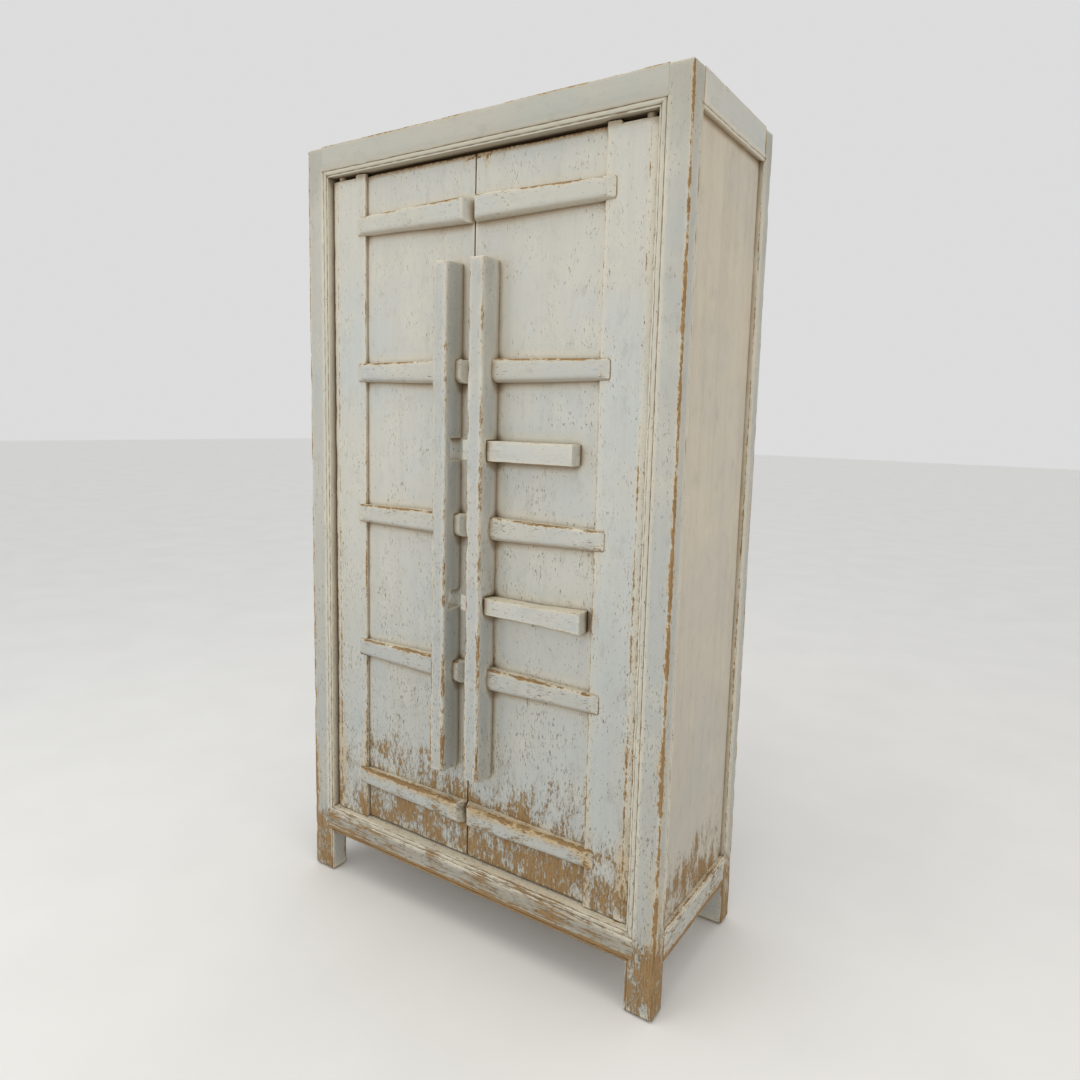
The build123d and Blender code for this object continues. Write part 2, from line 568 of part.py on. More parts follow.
def door_stile():
    """Pivot stile with its pins, panel groove, batten housings and raised inner tab."""
    arris = (STILE_OUTER - STILE_BEVEL_WIDTH, STILE_SINK)
    edge = (STILE_OUTER, STILE_SINK + STILE_BEVEL_DEPTH)
    outline = Polygon((STILE_INNER, STILE_SINK), arris, edge, (STILE_OUTER, STILE_BACK),
                      (STILE_INNER, STILE_BACK), align=None)
    corner = outline.vertices().group_by(Axis.X)[-1].sort_by(Axis.Y)[0]
    outline = fillet(corner, STILE_ROUND)
    stile = Pos(0, 0, STILE_BOTTOM) * extrude(outline, amount=STILE_TOP - STILE_BOTTOM)
    stile += stile_tab()
    groove_x = (STILE_INNER - CUT_OVERRUN, STILE_INNER + PANEL_TONGUE)
    stile -= block(groove_x, (PANEL_SINK, PANEL_BACK), (0, HEIGHT), JOINT_PLAY)
    for level in BATTEN_LEVELS:
        stile -= door_batten(level, JOINT_PLAY)
    return stile + pivot_pins()


def stile_tab():
    """Raised inner part of the stile's top, rounded where it drops to the outer part."""
    tab = block((STILE_INNER, STILE_INNER + STILE_TAB_WIDTH), (STILE_SINK, STILE_BACK),
                (STILE_TOP, SOFFIT - STILE_TAB_GAP))
    outer = tab.edges().filter_by(Axis.Y).group_by(Axis.Z)[-1].sort_by(Axis.X)[-1]
    return fillet(outer, min(STILE_TAB_ROUND, 0.9 * (STILE_TOP_GAP - STILE_TAB_GAP)))


def pivot_pins():
    """Round pins on the ends of the stile, on the door's turning axis."""
    align = (Align.CENTER, Align.CENTER, Align.MIN)
    top_length = STILE_TOP_GAP + PIN_TOP_HOLD
    bottom_length = STILE_BOTTOM_GAP + PIN_BOTTOM_HOLD
    top = Pos(PIN_X, PIN_Y, STILE_TOP) * Cylinder(PIN_RADIUS, top_length, align=align)
    bottom_z = STILE_BOTTOM - bottom_length
    bottom = Pos(PIN_X, PIN_Y, bottom_z) * Cylinder(PIN_RADIUS, bottom_length, align=align)
    return top + bottom


def door_panel():
    """Broad board of the door, tongued into the stile."""
    edge = STILE_INNER + PANEL_TONGUE
    return block((DOOR_EDGE, edge), (PANEL_SINK, PANEL_BACK), (PANEL_BOTTOM, PANEL_TOP))


def bolt_mortise(level, height, play, below):
    """Slot through a right-hand handle post for one sliding bolt, open towards the panel."""
    z = (level - height / 2 - below, level + height / 2 + play)
    y = (BOLT_FRONT - play, PANEL_SINK + CUT_OVERRUN)
    return block((HANDLE_LEFT - CUT_OVERRUN, HANDLE_RIGHT + CUT_OVERRUN), y, z)


def handle_post(play, below):
    """Upright post that clasps the middle battens and is mortised for the bolts."""
    post = block((HANDLE_LEFT, HANDLE_RIGHT), (HANDLE_FRONT, PANEL_SINK), (HANDLE_BOTTOM, HANDLE_TOP))
    front = [edge for edge in post.edges() if edge.center().Y < HANDLE_FRONT + HANDLE_ROUND]
    post = fillet(front, HANDLE_ROUND)
    for level in BATTEN_LEVELS[1:-1]:
        post -= door_batten(level, JOINT_PLAY)
    post -= bolt_mortise(UPPER_BOLT_Z, UPPER_BOLT_HEIGHT, play, below)
    return post - bolt_mortise(LOWER_BOLT_Z, LOWER_BOLT_HEIGHT, play, below)


# ------------------------------------------------------------------ sliding bolts
def upper_bolt():
    """Plain square-cut bolt, drawn back to the right."""
    z = (UPPER_BOLT_Z - UPPER_BOLT_HEIGHT / 2, UPPER_BOLT_Z + UPPER_BOLT_HEIGHT / 2)
    bolt = block((BOLT_TIP, UPPER_BOLT_END), (BOLT_FRONT, BOLT_BACK), z)
    return fillet(bolt.edges().group_by(Axis.Y)[0], BOLT_ROUND)


def lower_bolt():
    """Bolt that swells into a grip at its right-hand end, drawn back to the right."""
    low = LOWER_BOLT_Z - LOWER_BOLT_HEIGHT / 2
    high = LOWER_BOLT_Z + LOWER_BOLT_HEIGHT / 2
    swell = (LOWER_BOLT_GRIP_HEIGHT - LOWER_BOLT_HEIGHT) / 2
    neck = LOWER_BOLT_END - LOWER_BOLT_GRIP_LENGTH
    outline = Polygon((BOLT_TIP, low), (neck, low), (LOWER_BOLT_END, low - swell),
                      (LOWER_BOLT_END, high + swell),
                      (neck, high), (BOLT_TIP, high), align=None)
    bolt = extrude(Plane.XZ.offset(-BOLT_BACK) * outline, amount=BOLT_DEPTH, dir=(0, -1, 0))
    return fillet(bolt.edges().group_by(Axis.Y)[0], BOLT_ROUND)


# ------------------------------------------------------------------ the whole cupboard
def paired(name, solid):
    """A right-hand piece and its left-hand twin, by name."""
    return {f"{name}_right": solid, f"{name}_left": mirrored(solid)}


def carcase():
    """Every fixed piece, by name."""
    pieces = paired("front_post", front_post())
    pieces |= paired("back_post", back_post())
    top = (TOP_BOARD_BOTTOM, TOP_BOARD_TOP)
    floor = (FLOOR_BOTTOM, SILL_TOP)
    top_z = (SOFFIT, HEIGHT)
    bottom_z = (FOOT_HEIGHT, SILL_TOP)
    pieces["head_rail"] = head_rail()
    pieces["sill_rail"] = sill_rail()
    pieces["back_rail_top"] = back_rail(top_z, TOP_TENON, top, top_batten(JOINT_PLAY))
    pieces["back_rail_bottom"] = back_rail(bottom_z, BOTTOM_TENON, floor, floor_batten(JOINT_PLAY))
    pieces["back_rail_middle"] = back_rail_middle()
    pieces |= paired("side_rail_top", side_rail(top_z, TOP_TENON, top))
    pieces |= paired("side_rail_bottom", side_rail(bottom_z, BOTTOM_TENON, floor))
    pieces |= paired("side_panel", side_panel_blank())
    for index in range(BACK_BOARD_COUNT):
        pieces[f"back_board_{index + 1}"] = back_board(index)
    pieces["top_board_front"], pieces["top_board_back"] = flat_board_pair(top)
    pieces["floor_board_front"], pieces["floor_board_back"] = flat_board_pair(floor)
    pieces["top_batten"] = top_batten()
    pieces["floor_batten"] = floor_batten()
    for index, level in enumerate(SHELF_TOPS):
        pieces[f"shelf_{index + 1}"] = shelf(level)
        pieces |= paired(f"shelf_bearer_{index + 1}", shelf_bearer(level - BOARD_THICKNESS))
    pieces["door_stop_top"] = stop_strip((SOFFIT - STOP_REACH, STOP_TOP))
    pieces["door_stop_bottom"] = stop_strip((SILL_TOP, SILL_TOP + STOP_REACH))
    return pieces


def doors():
    """Both doors and the bolts that lock them, by name."""
    pieces = paired("door_stile", door_stile())
    pieces |= paired("door_panel", door_panel())
    for index, level in enumerate(BATTEN_LEVELS):
        pieces |= paired(f"door_batten_{index + 1}", door_batten(level))
    pieces["handle_post_right"] = handle_post(BOLT_PLAY, BOLT_SEAT_GAP)
    pieces["handle_post_left"] = mirrored(handle_post(BOLT_ENTRY_PLAY, BOLT_ENTRY_PLAY))
    pieces["bolt_upper"] = upper_bolt()
    pieces["bolt_lower"] = lower_bolt()
    return pieces


os.makedirs("parts", exist_ok=True)
for node, solid in (carcase() | doors()).items():
    export_step(Pos(0, -FOOTPRINT_MIDDLE, 0) * solid, f"parts/{node}.step")
    print(node)
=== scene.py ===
"""Dresses the cupboard in worn, chalky paint and stands it in a plain pale studio."""

from __future__ import annotations

import json
import logging
import math
import random
from collections.abc import Iterable, Mapping
from dataclasses import dataclass, field
from enum import Enum
from typing import Union

import bmesh
import bpy
from mathutils import Matrix, Vector, kdtree, noise
from mathutils.bvhtree import BVHTree

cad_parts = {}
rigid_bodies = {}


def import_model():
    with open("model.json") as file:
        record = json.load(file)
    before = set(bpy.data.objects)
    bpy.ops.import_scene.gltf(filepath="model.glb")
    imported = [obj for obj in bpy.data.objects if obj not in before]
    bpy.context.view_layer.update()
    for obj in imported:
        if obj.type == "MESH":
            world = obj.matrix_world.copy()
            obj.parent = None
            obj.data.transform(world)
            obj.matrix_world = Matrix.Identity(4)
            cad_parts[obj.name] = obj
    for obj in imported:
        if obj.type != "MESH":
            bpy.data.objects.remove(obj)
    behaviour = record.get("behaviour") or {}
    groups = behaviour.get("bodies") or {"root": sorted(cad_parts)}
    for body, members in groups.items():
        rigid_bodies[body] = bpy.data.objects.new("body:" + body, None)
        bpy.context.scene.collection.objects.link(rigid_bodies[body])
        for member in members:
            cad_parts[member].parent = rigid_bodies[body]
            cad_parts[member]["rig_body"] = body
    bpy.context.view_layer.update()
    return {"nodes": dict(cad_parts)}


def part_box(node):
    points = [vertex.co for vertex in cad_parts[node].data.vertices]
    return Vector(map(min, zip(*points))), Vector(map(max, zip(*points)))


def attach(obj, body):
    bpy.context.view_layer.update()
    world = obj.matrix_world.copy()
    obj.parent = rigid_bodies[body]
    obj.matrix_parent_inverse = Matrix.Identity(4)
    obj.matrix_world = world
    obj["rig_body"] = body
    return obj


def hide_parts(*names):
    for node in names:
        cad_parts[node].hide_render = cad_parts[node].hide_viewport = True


log = logging.getLogger("cupboard")

Colour = tuple[float, float, float, float]
Tint = Union[Colour, bpy.types.NodeSocket]
Number = Union["Value", float]

MILLIMETRE = 0.001


def linear(level: int) -> float:
    """One channel of a screen colour, from 0 to 255, turned into linear light."""
    share = level / 255
    return share / 12.92 if share <= 0.04045 else ((share + 0.055) / 1.055) ** 2.4


def tone(red: int, green: int, blue: int) -> Colour:
    """A colour as mixed on a screen, turned into linear light."""
    return (linear(red), linear(green), linear(blue), 1.0)


# ---------------------------------------------------------------- shader expressions


class Value:
    """A number that varies over a surface, so that node sums read as plain maths."""

    def __init__(self, sheet: Sheet, socket: bpy.types.NodeSocket) -> None:
        """Wraps an output socket of the sheet."""
        self.sheet = sheet
        self.socket = socket

    def _math(self, operation: str, first: Number, second: Number,
              clamped: bool = False) -> Value:
        """Adds one Math node.

        Args:
            operation: The node's operation.
            first: Its first input.
            second: Its second input.
            clamped: Whether the result is kept between 0 and 1.

        Returns:
            The node's result.
        """
        settings = {"operation": operation, "use_clamp": clamped}
        return self.sheet.value("ShaderNodeMath", settings, {0: first, 1: second})

    def __add__(self, other: Number) -> Value:
        """Sum."""
        return self._math("ADD", self, other)

    def __radd__(self, other: Number) -> Value:
        """Sum with a plain number on the left."""
        return self._math("ADD", other, self)

    def __sub__(self, other: Number) -> Value:
        """Difference."""
        return self._math("SUBTRACT", self, other)

    def __rsub__(self, other: Number) -> Value:
        """Difference from a plain number."""
        return self._math("SUBTRACT", other, self)

    def __mul__(self, other: Number) -> Value:
        """Product."""
        return self._math("MULTIPLY", self, other)

    def __rmul__(self, other: Number) -> Value:
        """Product with a plain number on the left."""
        return self._math("MULTIPLY", other, self)

    def __truediv__(self, other: Number) -> Value:
        """Quotient."""
        return self._math("DIVIDE", self, other)

    def __rtruediv__(self, other: Number) -> Value:
        """Quotient with a plain number on the left."""
        return self._math("DIVIDE", other, self)

    def clamp(self) -> Value:
        """The same number kept between 0 and 1."""
        return self._math("ADD", self, 0.0, clamped=True)

    def larger(self, other: Number) -> Value:
        """The larger of two numbers."""
        return self._math("MAXIMUM", self, other)

    def size(self) -> Value:
        """The number without its sign."""
        return self.sheet.value("ShaderNodeMath", {"operation": "ABSOLUTE"}, {0: self})

    def power(self, exponent: float) -> Value:
        """The number raised to a power."""
        return self._math("POWER", self, exponent)

    def rise(self, low: float, high: float) -> Value:
        """A smooth step.

        Args:
            low: Where the step is 0; it may be above high for a falling step.
            high: Where the step is 1.

        Returns:
            A number between 0 and 1.
        """
        settings = {"interpolation_type": "SMOOTHSTEP"}
        inputs = {"Value": self, "From Min": low, "From Max": high}
        return self.sheet.value("ShaderNodeMapRange", settings, inputs)


class Sheet:
    """The node tree of one material."""

    def __init__(self, name: str) -> None:
        """Starts an empty material.

        Args:
            name: The material's name.
        """
        self.material = bpy.data.materials.new(name)
        self.material.use_nodes = True
        self.tree = self.material.node_tree
        self.tree.nodes.clear()
        self.place = self.node("ShaderNodeTexCoord").outputs["Object"]

    def node(self, kind: str, settings: Mapping | None = None,
             inputs: Mapping | None = None) -> bpy.types.Node:
        """Adds any node.

        Args:
            kind: The node's type.
            settings: Its properties, set before its sockets; "stops" fills a colour ramp.
            inputs: Values or links, by socket name or number.

        Returns:
            The new node.
        """
        made = self.tree.nodes.new(kind)
        for key, setting in (settings or {}).items():
            if key == "stops":
                self._fill_ramp(made.color_ramp, setting)
            else:
                setattr(made, key, setting)
        for key, given in (inputs or {}).items():
            source = given.socket if isinstance(given, Value) else given
            if isinstance(source, bpy.types.NodeSocket):
                self.tree.links.new(source, made.inputs[key])
            else:
                made.inputs[key].default_value = source
        return made

    @staticmethod
    def _fill_ramp(ramp: bpy.types.ColorRamp, stops: Iterable[tuple[float, Colour]]) -> None:
        """Sets a ramp's stops.

        Args:
            ramp: The ramp of a new node.
            stops: Positions and colours, in order.
        """
        stops = list(stops)
        while len(ramp.elements) < len(stops):
            ramp.elements.new(1.0)
        for element, (position, colour) in zip(ramp.elements, stops):
            element.position = position
            element.color = colour

    def value(self, kind: str, settings: Mapping | None = None,
              inputs: Mapping | None = None) -> Value:
        """Adds a node and gives its first output as a number."""
        return Value(self, self.node(kind, settings, inputs).outputs[0])

    def stretched(self, stretch: tuple[float, float, float],
                  shift: Value | None = None) -> bpy.types.NodeSocket:
        """The place on the piece, made ready for a figure.

        Args:
            stretch: Scale along each axis.
            shift: A number of the board's own, so that no two boards look alike.

        Returns:
            The place's vector.
        """
        inputs: dict = {0: self.place, 1: stretch}
        if shift is not None:
            offset = self.node("ShaderNodeCombineXYZ", inputs={0: shift, 1: shift, 2: shift})
            inputs[2] = offset.outputs[0]
        return self.node("ShaderNodeVectorMath", {"operation": "MULTIPLY_ADD"}, inputs).outputs[0]

    def cloud(self, where: bpy.types.NodeSocket, scale: float, detail: float = 2.0,
              roughness: float = 0.5) -> Value:
        """Fractal noise between 0 and 1."""
        inputs = {"Vector": where, "Scale": scale, "Detail": detail, "Roughness": roughness}
        return self.value("ShaderNodeTexNoise", {"noise_dimensions": "3D"}, inputs)

    def stored(self, name: str) -> Value:
        """A number kept at the mesh's points."""
        made = self.node("ShaderNodeAttribute", {"attribute_name": name})
        return Value(self, made.outputs["Fac"])

    def height(self) -> Value:
        """Height above the floor, in metres."""
        split = self.node("ShaderNodeSeparateXYZ", inputs={0: self.place})
        return Value(self, split.outputs["Z"])

    def outward(self) -> Value:
        """Which way the surface faces.

        Returns:
            1 where it faces out of the cupboard, up or down, and 0 where it faces in.
        """
        normal = self.node("ShaderNodeTexCoord").outputs["Normal"]
        level = self.stretched((1.0, 1.0, 0.0))
        inputs = {0: normal, 1: level}
        dot = self.node("ShaderNodeVectorMath", {"operation": "DOT_PRODUCT"}, inputs)
        return Value(self, dot.outputs["Value"]).rise(-0.08, -0.02)

    def upward(self) -> Value:
        """How far the surface faces up.

        Returns:
            1 on a level top, 0 upright, -1 beneath.
        """
        normal = self.node("ShaderNodeNewGeometry").outputs["Normal"]
        split = self.node("ShaderNodeSeparateXYZ", inputs={0: normal})
        return Value(self, split.outputs["Z"])

    def openness(self, distance: float, tilt: float = 0.0) -> Value:
        """How open the surface lies.

        Args:
            distance: How far around it matters, in metres.
            tilt: How much what stands above counts for more than what lies below.

        Returns:
            1 in the open, towards 0 deep in a joint.
        """
        normal = self.node("ShaderNodeNewGeometry").outputs["Normal"]
        settings = {"operation": "ADD"}
        raised = self.node("ShaderNodeVectorMath", settings, {0: normal, 1: (0.0, 0.0, tilt)})
        settings = {"operation": "NORMALIZE"}
        raised = self.node("ShaderNodeVectorMath", settings, {0: raised.outputs[0]})
        inputs = {"Distance": distance, "Normal": raised.outputs[0]}
        found = self.node("ShaderNodeAmbientOcclusion", {"samples": 8}, inputs)
        return Value(self, found.outputs["AO"])

    def blend(self, share: Number, first: Tint, second: Tint, mode: str = "MIX") -> Tint:
        """Mixes two colours.

        Args:
            share: How much of the second colour shows.
            first: A colour or a colour socket.
            second: A colour or a colour socket.
            mode: How the second colour is laid over the first.

        Returns:
            The colour socket of the result.
        """
        settings = {"data_type": "RGBA", "blend_type": mode, "clamp_factor": True}
        inputs = {0: share, 6: first, 7: second}
        return self.node("ShaderNodeMix", settings, inputs).outputs[2]

    def ramp(self, share: Value, *stops: tuple[float, Colour]) -> Tint:
        """A colour picked along a ramp."""
        return self.node("ShaderNodeValToRGB", {"stops": stops}, {0: share}).outputs[0]

    def surface(self, colour: Tint, roughness: Number, relief: Value, depth: float) -> None:
        """Finishes the material.

        Args:
            colour: The base colour.
            roughness: How matt it is.
            relief: Height of the surface, 1 being a whole depth.
            depth: Depth of the relief in metres.
        """
        bump_inputs = {"Strength": 1.0, "Distance": depth, "Height": relief}
        bump = self.node("ShaderNodeBump", inputs=bump_inputs)
        shader = self.node("ShaderNodeBsdfPrincipled", inputs={
            "Base Color": colour, "Roughness": roughness, "Normal": bump.outputs[0],
            "Specular IOR Level": 0.35})
        self.node("ShaderNodeOutputMaterial", inputs={0: shader.outputs[0]})


# ---------------------------------------------------------------- finishes


class Grain(Enum):
    """The axis that a board's grain runs along, and how far that squeezes its figure."""

    ACROSS = (0.10, 1.0, 1.0)
    BACK = (1.0, 0.10, 1.0)
    UP = (1.0, 1.0, 0.10)

    @property
    def axis(self) -> int:
        """Number of the axis."""
        return self.value.index(0.10)

    def squeeze(self, share: float) -> tuple[float, float, float]:
        """Scale along each axis, with the grain squeezed to that share."""
        return tuple(share if number == self.axis else 1.0 for number in range(3))


@dataclass(frozen=True)
class WornPaint:
    """Chalky paint rubbed back to the wood."""

    name: str
    grain: Grain
    body: Colour = tone(199, 197, 188)
    cool: Colour = tone(192, 195, 191)
    # cream tone of the paint, also used for its painted highlights
    cream: Colour = tone(220, 212, 191)
    thin: Colour = tone(132, 124, 108)
    wood: Colour = tone(160, 128, 84)
    dark_wood: Colour = tone(126, 99, 64)
    ochre: Colour = tone(194, 168, 124)
    # colour of the painted shade at the very top
    shaded: Colour = tone(160, 157, 142)
    fleck: Colour = tone(92, 86, 76)
    # colour of the painted shade towards the floor
    cold: Colour = tone(158, 163, 161)
    # dark brown of pits in the bared wood, and of the painted shade in the deepest nooks
    seam: Colour = tone(104, 82, 56)
    # dark brown of dirt in the grooves and of painted shade along the joints
    nook: Colour = tone(62, 44, 24)
    # brown tint of the painted shade in the nooks, as if dirty
    glaze: Colour = tone(196, 172, 130)
    # tint of the painted shadow under overhangs
    soot: Colour = tone(168, 136, 92)
    arris_reach: float = 2.4 * MILLIMETRE    # how far wear comes in from the arrises
    arris_bare: float = 0.45                 # share of their length that is rubbed through
    flake_size: float = 20 * MILLIMETRE
    hold: float = 0.80                       # flake level that breaks through the paint
    low_flake: float = 0.30                  # added to the flakes at the foot
    low_from: float = 0.50                   # heights between which the flaking grows
    low_to: float = 0.20
    hem: float = 0.0                         # height up to which an edge is rubbed bare
    fleck_hold: float = 0.59                 # level of the small dark flecks
    flake_stretch: float = 0.35              # scale of the flakes along the grain
    stain: float = 0.5                       # ochre let through along the lower edges
    stain_reach: float = 32 * MILLIMETRE
    halo: float = 0.8                        # ochre round the worn arrises
    crown: float = 0.0                       # painted shade darkening the very top
    top_rub: float = 0.0                     # extra wear of the arrises up there
    banding: float = 0.06                    # long soft streaks along the grain
    dirt: float = 1.0                        # how dark the nooks are: painted shade with some dirt

    def material(self) -> bpy.types.Material:
        """The material, ready to be given to any piece whose grain runs that way."""
        return WornPaintMix(self).material()


class WornPaintMix:
    """Mixes one worn paint out of the numbers stored at the points and noise."""

    # noise: marks per metre, detail and roughness
    DRIFT = (3.5, 5.0, 0.62)       # slow change of tint
    PATCH = (13.0, 4.0, 0.60)      # patches the size of a hand
    LENGTH = (9.0, 5.0, 0.70)      # lengths of arris that are rubbed or spared
    RAGGED = (520.0, 4.0, 0.75)    # ragged rims
    CHIPS = (210.0, 4.0, 0.70)     # chips a few millimetres wide
    FLECK = (330.0, 4.0, 0.75)     # small dark flecks
    BRUSH = (230.0, 4.0, 0.70)     # brush marks
    BANDS = (30.0, 4.0, 0.60)      # long soft streaks
    RINGS = (240.0, 6.0, 0.75)     # growth rings of the bared wood
    CRACK = (55.0, 3.0, 0.60)      # hairline cracks
    SPECKLE = (620.0, 3.0, 0.70)   # dust
    SMUDGE = (34.0, 7.0, 0.74)     # smudges
    FLAKE = (10.0, 0.76)           # detail and roughness of the flakes

    # scale of the figures along the grain: the smaller, the longer they are drawn out
    BRUSHED = 0.04
    RINGED = 0.10
    DASHED = 0.27
    SMEARED = 0.50

    # heights between which something grows, in metres
    HANDLED = (1.7, 0.2)           # wear by hands, knees and feet
    DOOR_TOPS = (1.70, 1.74)
    COLD = (1.1, 0.5)              # painted shade: a darker, colder tint towards the floor
    DINGY = (1.70, 1.86)           # painted shade darkening the very top
    CLEAN = (0.35, 1.6)            # fewer flecks higher up

    # distances, in metres
    STRIP_RIM = 0.5 * MILLIMETRE   # softness of a rubbed strip's rim
    HALO_RIM = 1.2 * MILLIMETRE    # softness of the ochre's rim beyond it
    HALO_START = 0.6 * MILLIMETRE
    HEM_RISE = 5 * MILLIMETRE
    # distances over which painted highlights fade from the arrises and the grooves
    CREAM_RIM = (9.0 * MILLIMETRE, 0.0)
    CREAM_GROOVE = (14 * MILLIMETRE, 6 * MILLIMETRE)
    FLECKED_RIM = (20 * MILLIMETRE, 8 * MILLIMETRE)
    GROOVE_LINE = (2.2 * MILLIMETRE, 0.8 * MILLIMETRE)
    NOOK = 25 * MILLIMETRE
    OVERHANG = 26 * MILLIMETRE
    RELIEF = 0.6 * MILLIMETRE

    def __init__(self, paint: WornPaint) -> None:
        """Reads the stored numbers and grows the noise.

        Args:
            paint: The finish to mix.
        """
        self.paint = paint
        self.sheet = sheet = Sheet(paint.name)
        board = sheet.stored("board")
        self.arris = sheet.stored("arris")
        self.rub = sheet.stored("rub")
        self.groove = sheet.stored("groove")
        self.height = sheet.height()
        self.up = sheet.upward()
        self.flat = self.up.clamp()
        self.out = sheet.outward()
        self.low = self.height.rise(paint.low_from, paint.low_to) * self.out
        self.air = sheet.openness(self.NOOK)

        squeeze = paint.grain.squeeze
        along = sheet.stretched(squeeze(self.BRUSHED), board)
        some = sheet.stretched(squeeze(paint.flake_stretch))
        self.drift = sheet.cloud(sheet.place, *self.DRIFT)
        self.patch = sheet.cloud(sheet.place, *self.PATCH)
        self.length = sheet.cloud(sheet.place, *self.LENGTH)
        self.ragged = sheet.cloud(some, *self.RAGGED)
        self.flake = sheet.cloud(some, 1 / paint.flake_size, *self.FLAKE)
        self.chips = sheet.cloud(some, *self.CHIPS)
        self.fleck = sheet.cloud(sheet.stretched(squeeze(self.DASHED)), *self.FLECK)
        self.brush = sheet.cloud(along, *self.BRUSH)
        self.bands = sheet.cloud(along, *self.BANDS)
        self.rings = sheet.cloud(sheet.stretched(squeeze(self.RINGED), board), *self.RINGS)
        self.crack = sheet.cloud(along, *self.CRACK)
        self.speckle = sheet.cloud(sheet.place, *self.SPECKLE)
        self.smudge = sheet.cloud(sheet.stretched(squeeze(self.SMEARED)), *self.SMUDGE)

    def material(self) -> bpy.types.Material:
        """Lays wood, paint, dirt and painted light and shade over one another.

        Returns:
            The finished material.
        """
        strips, halo = self._rubbed_arrises()
        level = self._flaking()
        bare = strips.larger(((level - self.paint.hold) / 0.03).clamp())
        flecks = self._flecks()
        coat = self._coat(level, halo, flecks)
        colour = self._grime(self.sheet.blend(bare, coat, self._wood()))
        relief = (1.0 - bare) * 0.55 + self.brush * 0.1 + self.rings * bare * 0.2 - flecks * 0.3
        self.sheet.surface(colour, 0.58 + bare * 0.2, relief, self.RELIEF)
        return self.sheet.material

    def _rubbed_arrises(self) -> tuple[Value, Value]:
        """Where hands and feet have rubbed the arrises through.

        Returns:
            The bare strips, and the wider halo of ochre round them.
        """
        paint, low, rub = self.paint, self.low, self.rub
        start = 0.62 - paint.arris_bare * 0.3
        worn = self.length.rise(start - 0.04, start + 0.02) * 0.35
        worn = worn + self.length.rise(start, start + 0.24)
        use = 0.45 + self.height.rise(*self.HANDLED) * 0.55
        share = worn * (use + low * 0.5 + self.flat * (0.4 + low * 1.6)) - 0.12
        aloft = self.height.rise(*self.DOOR_TOPS) * (1.0 - rub) * paint.top_rub
        reach = rub * (share + aloft) * paint.arris_reach
        reach = reach * (0.3 + self.chips.rise(0.34, 0.66) * 1.4)
        rim = self.ragged - 0.5
        strips = ((reach - self.arris) / self.STRIP_RIM + rim * 7.0).clamp()
        halo = reach * 1.7 + rub * self.HALO_START - self.arris
        halo = (halo / self.HALO_RIM + rim * 5.0).clamp()
        exposed = (rub + low + aloft).rise(0.04, 0.24)
        return strips * exposed, halo * exposed

    def _flaking(self) -> Value:
        """How near the paint is to flaking off; it does above the finish's hold.

        Returns:
            The level, highest at the foot and on a rubbed hem.
        """
        low = self.low
        level = self.flake + low * self.paint.low_flake - self.up.rise(0.5, 0.9) * 0.25
        level = level + (self.patch - 0.5) * (0.25 + low * 0.35)
        level = level + (self.chips - 0.5) * (0.12 + low * 0.48) + (self.ragged - 0.5) * low * 0.3
        hem = self.paint.hem
        return level + self.height.rise(hem + self.HEM_RISE, hem) * self.out * 0.3

    def _flecks(self) -> Value:
        """Small dark flecks where the paint has let go in points.

        Returns:
            1 in a fleck, 0 between.
        """
        cluster = self.patch.rise(0.36, 0.62) + self.low * 0.6
        cluster = (cluster + self.arris.rise(*self.FLECKED_RIM) * 0.5).clamp()
        hold = (1.0 - cluster) * 0.06 + self.height.rise(*self.CLEAN) * 0.04
        return ((self.fleck - hold - self.paint.fleck_hold) / 0.04).clamp()

    def _coat(self, level: Value, halo: Value, flecks: Value) -> Tint:
        """What is left of the paint, with painted highlights and painted shade laid on it.

        Args:
            level: How near it is to flaking off.
            halo: Where ochre shows round the rubbed arrises.
            flecks: The dark flecks.

        Returns:
            Its colour.
        """
        paint, sheet, low, patch = self.paint, self.sheet, self.low, self.patch
        coat = sheet.blend(self.drift.rise(0.38, 0.60), paint.cool, paint.body)
        # painted shade: outward faces darker and colder towards the floor
        coat = sheet.blend(self.height.rise(*self.COLD) * self.out * 0.35, coat, paint.cold)
        # some cream at random in patches; painted highlights on the arrises, on faces turned up,
        # in a band round the nooks and on the beads by the grooves
        cream = patch.rise(0.45, 0.72) * 0.2 + self.arris.rise(*self.CREAM_RIM) * 0.32
        cream = cream + self.up.rise(0.2, 0.9) * 0.75 + self.air.rise(0.98, 0.80) * 0.35
        cream = cream + self.groove.rise(*self.CREAM_GROOVE) * 0.2
        coat = sheet.blend(cream.clamp(), coat, paint.cream)
        # painted shade: darker towards the very top
        coat = sheet.blend(self.height.rise(*self.DINGY) * paint.crown, coat, paint.shaded)

        stained = self.arris.rise(paint.stain_reach, 0.0) * self.rub * low.power(0.6)
        stained = stained * patch.rise(0.28, 0.56) + (self.speckle + self.ragged - 1.0) * low
        stained = (stained * paint.stain * 1.6).larger(halo * paint.halo)
        coat = sheet.blend(stained.clamp(), coat, paint.ochre)
        thinned = ((level - paint.hold + 0.10) / 0.10).clamp() * (0.12 + low * 0.4)
        coat = sheet.blend(thinned, coat, paint.thin)
        streaks = (self.brush.rise(0.48, 0.80) + self.bands.rise(0.42, 0.66)) * paint.banding
        streaks = streaks + self.speckle.rise(0.50, 0.85) * 0.22
        streaks = streaks + self.smudge.rise(0.50, 0.74) * 0.24
        coat = sheet.blend(streaks, coat, paint.thin)
        split = (1.0 - (self.crack - 0.5).size() / 0.006).clamp()
        split = split * self.ragged.rise(0.46, 0.62) * patch.rise(0.55, 0.65)
        return sheet.blend(flecks.larger(split) * 0.85, coat, paint.fleck)

